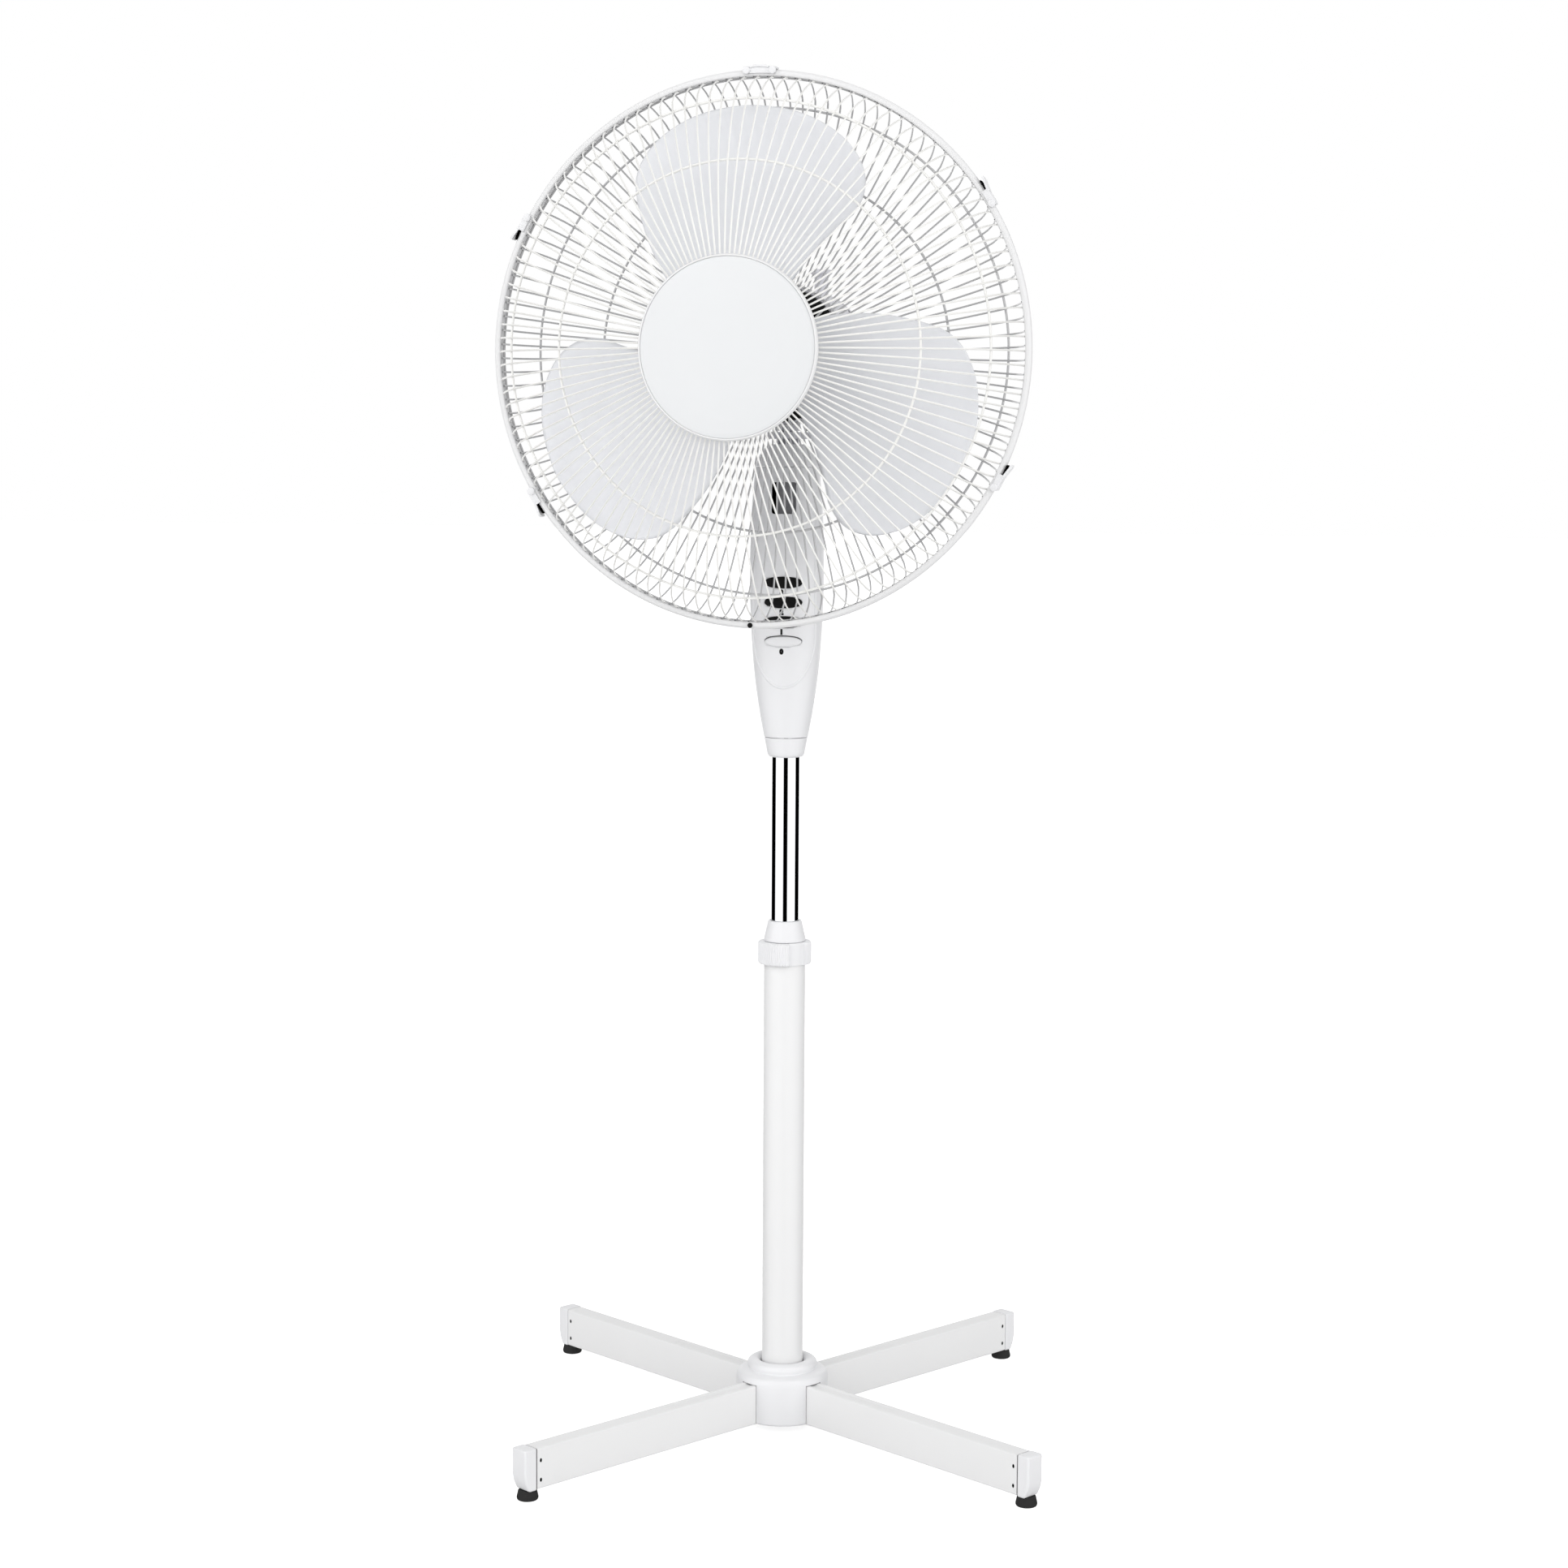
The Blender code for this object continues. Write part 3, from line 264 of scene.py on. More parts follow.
def pillow(half_width: float, half_height: float, power: float, low: float, high: float,
           crown: float) -> Shape:
    """Return an oval block with a crowned top, pointing along Z.

    The outline is a superellipse. The top's height falls from the middle as (1 - s^3)^(1/3), s being the
    share of the way out to the outline.

    Args:
        half_width: Half size along X.
        half_height: Half size along Y.
        power: The outline's power.
        low: Height of the foot.
        high: Height of the crown.
        crown: How far the crown rises above the shoulder.

    Returns:
        The closed block.
    """
    share = np.sin(np.linspace(1.0, 0.0, 10) * math.pi / 2)
    height = high - crown + crown * (1.0 - np.minimum(share, 1.0) ** 3) ** (1.0 / 3.0)
    share = np.concatenate(([0.0, 1.0], share))
    height = np.concatenate(([low, low], height))
    across, up = superellipse(half_width * share[:, None], half_height * share[:, None], power,
                              circle(56)[None])
    points = np.stack((across, up, np.broadcast_to(height[:, None], across.shape)), axis=-1)
    return grid_shape(points, wrap_columns=True)


# Finishes ---------------------------------------------------------------------------------------------------


class Slot(Enum):
    """The record's material slots."""

    WHITE_PAINT = "white_paint"
    WHITE_PLASTIC = "white_plastic"
    GREY_PLASTIC = "grey_plastic"
    BLACK_PLASTIC = "black_plastic"
    BLACK_RUBBER = "black_rubber"
    CHROME = "chrome"
    STEEL = "steel"
    PAINTED_WIRE = "painted_wire"
    CLEAR_PLASTIC = "clear_plastic"


def moulded_group() -> bpy.types.NodeTree:
    """Build the node group for moulded and painted skins, once.

    It mixes a broad, faint cloudiness into the colour, varies the roughness with it, and puts out a fine
    grain height.

    Returns:
        The group.
    """
    name = "moulded_skin"
    if name in bpy.data.node_groups:
        return bpy.data.node_groups[name]
    group = bpy.data.node_groups.new(name, "ShaderNodeTree")
    sockets = (("Vector", "NodeSocketVector"), ("Colour", "NodeSocketColor"), ("Shade", "NodeSocketColor"),
               ("Roughness", "NodeSocketFloat"), ("Cloud Scale", "NodeSocketFloat"),
               ("Grain Scale", "NodeSocketFloat"), ("Spread", "NodeSocketFloat"))
    for label, kind in sockets:
        group.interface.new_socket(label, in_out="INPUT", socket_type=kind)
    for label, kind in (("Colour", "NodeSocketColor"), ("Roughness", "NodeSocketFloat"),
                        ("Height", "NodeSocketFloat")):
        group.interface.new_socket(label, in_out="OUTPUT", socket_type=kind)
    nodes, links = group.nodes, group.links
    start, end = nodes.new("NodeGroupInput"), nodes.new("NodeGroupOutput")
    cloud, grain = nodes.new("ShaderNodeTexNoise"), nodes.new("ShaderNodeTexNoise")
    cloud.inputs["Detail"].default_value = 3.0
    grain.inputs["Detail"].default_value = 2.0
    links.new(start.outputs["Vector"], cloud.inputs["Vector"])
    links.new(start.outputs["Vector"], grain.inputs["Vector"])
    links.new(start.outputs["Cloud Scale"], cloud.inputs["Scale"])
    links.new(start.outputs["Grain Scale"], grain.inputs["Scale"])
    mix = nodes.new("ShaderNodeMix")
    mix.data_type = "RGBA"
    links.new(cloud.outputs["Fac"], mix.inputs["Factor"])
    links.new(start.outputs["Colour"], mix.inputs[6])
    links.new(start.outputs["Shade"], mix.inputs[7])
    links.new(mix.outputs[2], end.inputs["Colour"])
    swing = nodes.new("ShaderNodeMath")
    swing.operation = "SUBTRACT"
    swing.inputs[1].default_value = 0.5
    links.new(cloud.outputs["Fac"], swing.inputs[0])
    spread = nodes.new("ShaderNodeMath")
    spread.operation = "MULTIPLY_ADD"
    links.new(swing.outputs[0], spread.inputs[0])
    links.new(start.outputs["Spread"], spread.inputs[1])
    links.new(start.outputs["Roughness"], spread.inputs[2])
    links.new(spread.outputs[0], end.inputs["Roughness"])
    links.new(grain.outputs["Fac"], end.inputs["Height"])
    return group


@dataclass(frozen=True)
class Finish:
    """One material: colour and shade are the lightest and darkest of a faint cloudiness over the skin."""

    name: str
    colour: tuple[float, float, float]
    shade: tuple[float, float, float]
    roughness: float
    spread: float = 0.06
    cloud_scale: float = 14.0
    grain_scale: float = 900.0
    grain: float = 0.05
    metallic: float = 0.0
    coat: float = 0.0
    alpha: float = 1.0
    specular: float = 0.5

    def material(self) -> bpy.types.Material:
        """Return the material, made once."""
        if self.name in bpy.data.materials:
            return bpy.data.materials[self.name]
        material = bpy.data.materials.new(self.name)
        material.use_nodes = True
        nodes, links = material.node_tree.nodes, material.node_tree.links
        shader = nodes["Principled BSDF"]
        shader.inputs["Metallic"].default_value = self.metallic
        shader.inputs["Coat Weight"].default_value = self.coat
        shader.inputs["Coat Roughness"].default_value = 0.12
        shader.inputs["Alpha"].default_value = self.alpha
        shader.inputs["Specular IOR Level"].default_value = self.specular
        place = nodes.new("ShaderNodeTexCoord")
        skin = nodes.new("ShaderNodeGroup")
        skin.node_tree = moulded_group()
        skin.inputs["Colour"].default_value = (*self.colour, 1.0)
        skin.inputs["Shade"].default_value = (*self.shade, 1.0)
        skin.inputs["Roughness"].default_value = self.roughness
        skin.inputs["Cloud Scale"].default_value = self.cloud_scale
        skin.inputs["Grain Scale"].default_value = self.grain_scale
        skin.inputs["Spread"].default_value = self.spread
        bump = nodes.new("ShaderNodeBump")
        bump.inputs["Strength"].default_value = self.grain
        bump.inputs["Distance"].default_value = 0.0004
        links.new(place.outputs["Object"], skin.inputs["Vector"])
        links.new(skin.outputs["Colour"], shader.inputs["Base Color"])
        links.new(skin.outputs["Roughness"], shader.inputs["Roughness"])
        links.new(skin.outputs["Height"], bump.inputs["Height"])
        links.new(bump.outputs["Normal"], shader.inputs["Normal"])
        material.diffuse_color = (*self.colour, self.alpha)
        return material


PAINT = Finish("satin_white_paint", (0.82, 0.82, 0.822), (0.79, 0.79, 0.793), 0.36, grain=0.04,
               grain_scale=420.0)
PLASTIC = Finish("white_moulding", (0.81, 0.812, 0.826), (0.78, 0.782, 0.796), 0.38, grain=0.03)
CAP_SKIN = Finish("frosted_white_cap", (0.745, 0.755, 0.765), (0.720, 0.730, 0.740), 0.46, grain=0.05,
                  grain_scale=1600.0)
BAND_SKIN = Finish("white_rim_moulding", (0.80, 0.80, 0.805), (0.77, 0.77, 0.775), 0.40, grain=0.03,
                   specular=0.2)
WARM_WIRE = Finish("warm_white_wire", (0.885, 0.880, 0.860), (0.850, 0.845, 0.825), 0.32, coat=0.3)
# Painted shade: the rear guard is the same white wire as the front one, painted darker grey as if in shade.
SHADED_BACK_WIRE = Finish("back_wire_painted_shade", (0.58, 0.58, 0.585), (0.52, 0.52, 0.525), 0.30, coat=0.4)
SMOKE = Finish("smoky_blade_plastic", (0.87, 0.88, 0.91), (0.84, 0.85, 0.88), 0.26, coat=0.2, alpha=0.80)
GREY = Finish("grey_moulding", (0.66, 0.66, 0.70), (0.61, 0.61, 0.65), 0.45, grain=0.10, grain_scale=1300.0)
BLACK = Finish("black_moulding", (0.006, 0.006, 0.006), (0.004, 0.004, 0.004), 0.42, specular=0.15)
# Painted shade: black that stands for hollows, gaps and insides which are dark only for want of light.
DARK = Finish("shadowed_inside", (0.004, 0.004, 0.004), (0.002, 0.002, 0.002), 0.9, specular=0.0)
RUBBER = Finish("black_rubber", (0.004, 0.004, 0.004), (0.006, 0.006, 0.006), 0.75, grain=0.20,
                grain_scale=700.0, specular=0.1)
CHROME = Finish("polished_chrome", (0.86, 0.87, 0.89), (0.84, 0.85, 0.87), 0.035, spread=0.01, grain=0.0,
                metallic=1.0)
ZINC = Finish("zinc_plated_steel", (0.55, 0.56, 0.58), (0.45, 0.46, 0.48), 0.35, spread=0.15, metallic=1.0)
INK = Finish("printed_ink", (0.006, 0.006, 0.006), (0.010, 0.010, 0.010), 0.6, specular=0.2)


# Pieces -----------------------------------------------------------------------------------------------------


def new_object(name: str, shape: Shape, sharp: float, tidy: bool) -> bpy.types.Object:
    """Make a smooth-shaded object from a shape.

    Args:
        name: The object's name.
        shape: Its points and faces.
        sharp: Edges sharper than this many degrees stay crisp.
        tidy: Merge doubles, as at poles, and turn all faces outwards.

    Returns:
        The object, linked to the scene.
    """
    mesh = bpy.data.meshes.new(name)
    mesh.from_pydata(shape.points.tolist(), [], shape.faces)
    if tidy:
        source = bmesh.new()
        source.from_mesh(mesh)
        bmesh.ops.remove_doubles(source, verts=source.verts, dist=2e-6)
        bmesh.ops.dissolve_degenerate(source, edges=source.edges, dist=1e-7)
        bmesh.ops.recalc_face_normals(source, faces=source.faces)
        source.to_mesh(mesh)
        source.free()
    mesh.shade_smooth()
    mesh.set_sharp_from_angle(angle=math.radians(sharp))
    item = bpy.data.objects.new(name, mesh)
    bpy.context.scene.collection.objects.link(item)
    return item


def add_piece(name: str, shape: Shape, finish: Finish, body: str,
              stands_for: tuple[str, ...] = (), sharp: float = 40.0, tidy: bool = True) -> bpy.types.Object:
    """Make one finished piece that rides on a body.

    Args:
        name: The piece's name.
        shape: Its shape, in place.
        finish: Its finish.
        body: The body it moves with.
        stands_for: Model nodes it replaces.
        sharp: Edges sharper than this many degrees stay crisp.
        tidy: Merge doubles and turn faces outwards.

    Returns:
        The piece.
    """
    item = new_object(name, shape, sharp, tidy)
    item.data.materials.append(finish.material())
    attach(item, body)
    if stands_for:
        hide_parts(*stands_for)
    LOG.info("%s: %d faces on %s", name, len(item.data.polygons), body)
    return item


def dress(finish: Finish, *nodes: str) -> None:
    """Give model nodes that stay in view a finish."""
    for node in nodes:
        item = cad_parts[node]
        item.data.materials.clear()
        item.data.materials.append(finish.material())


def thicken(item: bpy.types.Object, wall: float, inside: Finish | None = None) -> None:
    """Give an open skin a wall inwards; the inside may have its own finish."""
    modifier = item.modifiers.new("Wall", "SOLIDIFY")
    modifier.thickness = wall
    modifier.offset = -1.0
    if inside is not None:
        item.data.materials.append(inside.material())
        modifier.material_offset = 1


def hollow_out(item: bpy.types.Object, cutter_shape: Shape, finish: Finish) -> None:
    """Cut a shape out of a piece and keep the result in its mesh; the cut walls take the finish given."""
    cutter = new_object(item.name + "_cutter", cutter_shape, 40.0, True)
    if finish.name not in [material.name for material in item.data.materials]:
        item.data.materials.append(finish.material())
    for material in item.data.materials:
        cutter.data.materials.append(material)
    index = [material.name for material in item.data.materials].index(finish.name)
    cutter.data.polygons.foreach_set("material_index", np.full(len(cutter.data.polygons), index, np.int32))
    modifier = item.modifiers.new("Cut", "BOOLEAN")
    modifier.operation = "DIFFERENCE"
    modifier.solver = "EXACT"
    modifier.object = cutter
    settled = bpy.data.meshes.new_from_object(item.evaluated_get(bpy.context.evaluated_depsgraph_get()))
    item.modifiers.clear()
    item.data = settled
    bpy.data.objects.remove(cutter)


# Base -------------------------------------------------------------------------------------------------------


@dataclass
class CrossBase:
    """Two box-section legs across each other, end caps, rubber feet and the hub."""

    body: str = "base"
    bar_half_width: float = 0.0080
    bar_low: float = 0.0086
    bar_high: float = 0.0422
    bar_start: float = 0.0200
    bar_end: float = 0.2764
    corner: float = 0.0016
    groove_end: float = 0.135
    groove_half_width: float = 0.0042
    groove_depth: float = 0.0007
    cap_length: float = 0.0123
    cap_proud: float = 0.0005
    cap_chamfer: float = 0.0045
    seam_shade_inset: float = 0.0006
    foot_reach: float = 0.2800
    foot_radius: float = 0.0088
    hub_radius: float = 0.0390
    hub_ring: float = 0.0296
    hub_top: float = 0.0585
    tube_radius: float = 0.0175

    def leg(self, turn: float) -> Shape:
        """Return one leg: a rounded box section carried outwards, its top pressed down along the groove.

        The groove's depth is the product of a smooth step across the top and a smooth step along the leg.
        """
        half, low, high = self.bar_half_width, self.bar_low, self.bar_high
        top = np.linspace(half, -half, 33)[1:-1]
        corners = [(half, high)] + [(y, high) for y in top] + [(-half, high), (-half, low), (half, low)]
        outline = np.asarray(corners, float)
        rounded = softened(np.array(((half, low), (half, high), (-half, high), (-half, low))), self.corner, 5,
                           True)
        keep = outline[1:-3]
        keep = keep[np.abs(keep[:, 0]) < half - self.corner]
        section = np.concatenate((rounded[:12], keep, rounded[12:]))
        along = np.unique(np.concatenate((np.linspace(self.bar_start, self.bar_end, 60),
                                          self.groove_end + np.linspace(-0.004, 0.002, 13))))
        points = np.empty((len(along), len(section), 3))
        points[..., 0] = along[:, None]
        points[..., 1] = section[None, :, 0]
        points[..., 2] = section[None, :, 1]
        aside = np.clip((self.groove_half_width - np.abs(points[..., 1])) / 0.0012, 0.0, 1.0)
        outward = np.clip((self.groove_end - points[..., 0]) / 0.0030, 0.0, 1.0)
        press = aside * aside * (3 - 2 * aside) * outward * outward * (3 - 2 * outward)
        points[..., 2] -= np.where(points[..., 2] > high - 1e-6, press * self.groove_depth, 0.0)
        return grid_shape(points, wrap_columns=True, capped=True).turned(turn)

    def end_cap(self, turn: float) -> Shape:
        """Return one end cap: an outline with its lower outer corner cut away, drawn across the leg."""
        start, end = self.bar_end + 2 * CLEAR, self.bar_end + CLEAR + self.cap_length
        low, high = self.bar_low - self.cap_proud, self.bar_high + self.cap_proud
        outline = np.array(((start, low), (end - self.cap_chamfer, low),
                            (end - 0.3 * self.cap_chamfer, low + 0.0065), (end, low + 0.0125), (end, high),
                            (start, high)))
        half = self.bar_half_width + self.cap_proud
        return prism(outline, -half, half).turned(math.pi / 2, "X").turned(turn)

    def seam_shade(self, turn: float) -> Shape:
        """Return a black block of painted shade in the end cap's root, seen as the fine dark seam between the
        leg and its cap.
        """
        half, inset = self.bar_half_width - self.seam_shade_inset, self.seam_shade_inset
        low, high = self.bar_low + inset, self.bar_high - inset
        outline = np.array(((self.bar_end + 0.0001, -half), (self.bar_end + 2 * CLEAR, -half),
                            (self.bar_end + 2 * CLEAR, half), (self.bar_end + 0.0001, half)))
        return prism(outline, low, high).turned(turn)

    def hole_shade_discs(self) -> Shape:
        """Return the oval holes near the leg ends, two on each side of each leg, as dark discs of painted
        shade for their unlit insides.
        """
        share = np.array((1.0, 0.0))
        angles = circle(16)
        disc = np.empty((2, 16, 3))
        disc[..., 0] = 0.0011 * share[:, None] * np.cos(angles)
        disc[..., 1] = 0.00006
        disc[..., 2] = 0.0017 * share[:, None] * np.sin(angles)
        one = grid_shape(disc, wrap_columns=True)
        marks = []
        for quarter in range(4):
            for level in (0.0160, 0.0320):
                place = (self.bar_end - 0.0036, self.bar_half_width, level)
                mark = one.moved(place)
                mirrored = Shape(mark.points * np.array((1.0, -1.0, 1.0)),
                                 [face[::-1] for face in mark.faces])
                turn = BASE_TURN + quarter * math.pi / 2
                marks += [mark.turned(turn), mirrored.turned(turn)]
        return Shape.joined(*marks)

    def foot(self, turn: float) -> Shape:
        """Return one rubber foot: a turned block, a little narrower at the top, with a rolled lower edge."""
        radius, top = self.foot_radius, self.bar_low - self.cap_proud - 0.0001
        profile = np.array(((0.0, 0.0), (radius - 0.0008, 0.0), (radius, 0.0016), (radius - 0.0002, 0.0030),
                            (radius - 0.0009, 0.0060), (radius - 0.0013, top), (0.0, top)))
        return lathe(softened(profile, 0.0006, 3), 56).moved((self.foot_reach, 0.0, 0.0)).turned(turn)

    def hub(self) -> Shape:
        """Return the hub cover: a turned body with a rounded shoulder and a raised ring round the pole."""
        radius, ring, bore, top = self.hub_radius, self.hub_ring, self.tube_radius + 0.0004, self.hub_top
        profile = np.array(((bore, 0.0200), (0.0300, self.bar_low), (radius, self.bar_low), (radius, 0.0440),
                            (radius - 0.0016, 0.0478), (radius - 0.0060, 0.0497), (ring - 0.0004, 0.0503),
                            (ring + 0.0004, 0.0530), (ring - 0.0006, 0.0566), (ring - 0.0044, top),
                            (bore + 0.0036, top - 0.0002), (bore + 0.0006, top - 0.0026),
                            (bore, top - 0.0060)))
        return lathe(softened(profile, 0.0024, 5, True), 128)

    def hub_slots(self) -> tuple[Shape, Shape]:
        """Return the crossing slots that let the legs into the hub, a hair wider than the legs."""
        reach, top, far = self.bar_half_width + 0.0004, self.bar_high + 0.0003, 0.06
        outline = np.array(((-far, -reach), (far, -reach), (far, reach), (-far, reach)))
        bar = prism(outline, -0.01, top)
        return bar.turned(BASE_TURN), bar.turned(BASE_TURN + math.pi / 2)

    def build(self) -> None:
        """Make and dress every piece of the base."""
        for index in range(4):
            turn = BASE_TURN + index * math.pi / 2
            covered = ("leg_bar_a",) if index == 0 else ("leg_bar_b",) if index == 1 else ()
            add_piece(f"leg_{index}", self.leg(turn), PAINT, self.body, covered)
            cap = add_piece(f"leg_cap_{index}", self.end_cap(turn), PLASTIC, self.body,
                            (f"end_cap_{index}",), sharp=30.0)
            bevel = cap.modifiers.new("Round", "BEVEL")
            bevel.width = 0.0016
            bevel.segments = 4
            add_piece(f"rubber_foot_{index}", self.foot(turn), RUBBER, self.body,
                      (f"foot_{index}",))
        # Painted shade: black blocks in the leg ends darken the seams between legs and caps.
        seam_shades = Shape.joined(*[self.seam_shade(BASE_TURN + index * math.pi / 2) for index in range(4)])
        add_piece("cap_seam_shades", seam_shades, DARK, self.body)
        # Painted shade: dark discs stand for the unlit insides of the holes.
        add_piece("rivet_hole_shade", self.hole_shade_discs(), DARK, self.body, tidy=False)
        hub = add_piece("hub", self.hub(), PLASTIC, self.body, ("hub_cover",))
        # Painted shade: the slots' cut walls are black, as the shade inside the hub.
        for slot in self.hub_slots():
            hollow_out(hub, slot, DARK)
        dress(ZINC, "pole_foot", "base_bolt", "base_washer")


# Pole -------------------------------------------------------------------------------------------------------


@dataclass
class Pole:
    """Painted outer tube, collet, grip ring and the chromed tube that slides."""

    outer_radius: float = 0.0175
    outer_low: float = 0.0425
    outer_high: float = 0.4000
    inner_radius: float = 0.01175
    inner_low: float = 0.2000
    inner_high: float = 0.6400
    ring_low: float = 0.3998
    ring_high: float = 0.4190
    ring_core: float = 0.0188
    grip_height: float = 0.0030
    grip_spans: tuple[tuple[float, float], ...] = ((-199.6, -64.6), (-19.6, 115.4))
    collet_high: float = 0.4366

    def tube(self, radius: float, wall: float, low: float, high: float) -> Shape:
        """Return a turned tube with softly rolled ends."""
        profile = np.array(((radius - wall, low), (radius, low), (radius, high), (radius - wall, high)))
        return lathe(softened(profile, 0.0003, 3, True), 96)

    def collet(self) -> Shape:
        """Return the tapered collet above the ring, with a small lip where the chromed tube leaves it."""
        bore = self.inner_radius + CLEAR
        profile = np.array(((bore, 0.4090), (0.0146, 0.4090), (0.0146, 0.4193), (0.0177, 0.4193),
                            (0.0175, 0.4215), (0.0147, 0.4340), (0.0144, 0.4352), (0.0138, self.collet_high),
                            (bore, self.collet_high)))
        return lathe(softened(profile, 0.0007, 4, True), 96)

    def collar(self) -> Shape:
        """Return the short white sleeve on top of the outer tube."""
        bore, inside = self.inner_radius + CLEAR, self.outer_radius - 0.0015
        profile = np.array(((bore, 0.3700), (inside, 0.3700), (inside, 0.4003), (0.0183, 0.4003),
                            (0.0183, 0.4035), (0.0165, 0.4035), (0.0165, 0.4085), (bore, 0.4085)))
        return lathe(softened(profile, 0.0003, 3, True), 96)

    def ring(self) -> Shape:
        """Return the grip ring.

        Its outer radius is a core, plus a grip's height where the angle lies inside a grip, plus a shallow
        cosine rib there; both fade to nothing at the ring's top and bottom edges.
        """
        low, high, core = self.ring_low, self.ring_high, self.ring_core
        angles = circle(720)
        degrees = np.degrees(angles)
        grip = np.zeros_like(angles)
        for start, end in self.grip_spans:
            past = (degrees - start) % 360.0
            inside = np.clip(past / 1.5, 0.0, 1.0) * np.clip((end - start - past) / 1.5, 0.0, 1.0)
            grip = np.maximum(grip, np.where(past < end - start, inside, 0.0))
        rib = 0.00034 * (1.0 + np.cos(angles * 60.0)) * grip
        height = np.array((low, low, low + 0.0004, low + 0.0012, low + 0.0022, high - 0.0022, high - 0.0012,
                           high - 0.0003, high, high, high - 0.0025, high - 0.0025, low))
        rise = np.array((0.0, 0.55, 0.85, 0.97, 1.0, 1.0, 0.97, 0.8, 0.4, 0.0, 0.0, 0.0, 0.0))
        base = np.array((0.0186, core - 0.0001, core, core, core, core, core, core - 0.0002, core - 0.0006,
                         0.0150, 0.0150, 0.0186, 0.0186))
        radius = base[:, None] + rise[:, None] * (grip * self.grip_height + rib)[None]
        points = np.stack((radius * np.cos(angles), radius * np.sin(angles),
                           np.broadcast_to(height[:, None], radius.shape)), axis=-1)
        return grid_shape(points, wrap_rows=True, wrap_columns=True)

    def build(self) -> None:
        """Make and dress every piece of the pole."""
        outer = self.tube(self.outer_radius, 0.0012, self.outer_low, self.outer_high)
        add_piece("painted_tube", outer, PAINT, "base", ("outer_tube",))
        add_piece("sleeve", self.collar(), PLASTIC, "base", ("tube_collar",))
        add_piece("cone", self.collet(), PLASTIC, "base", ("collet",))
        add_piece("grip_ring", self.ring(), PLASTIC, "ring", ("height_ring",), sharp=50.0)
        inner = self.tube(self.inner_radius, 0.0010, self.inner_low, self.inner_high)
        add_piece("chromed_tube", inner, CHROME, "mast", ("inner_tube",))
        dress(BLACK, "inner_tube_bush")


# Column -----------------------------------------------------------------------------------------------------


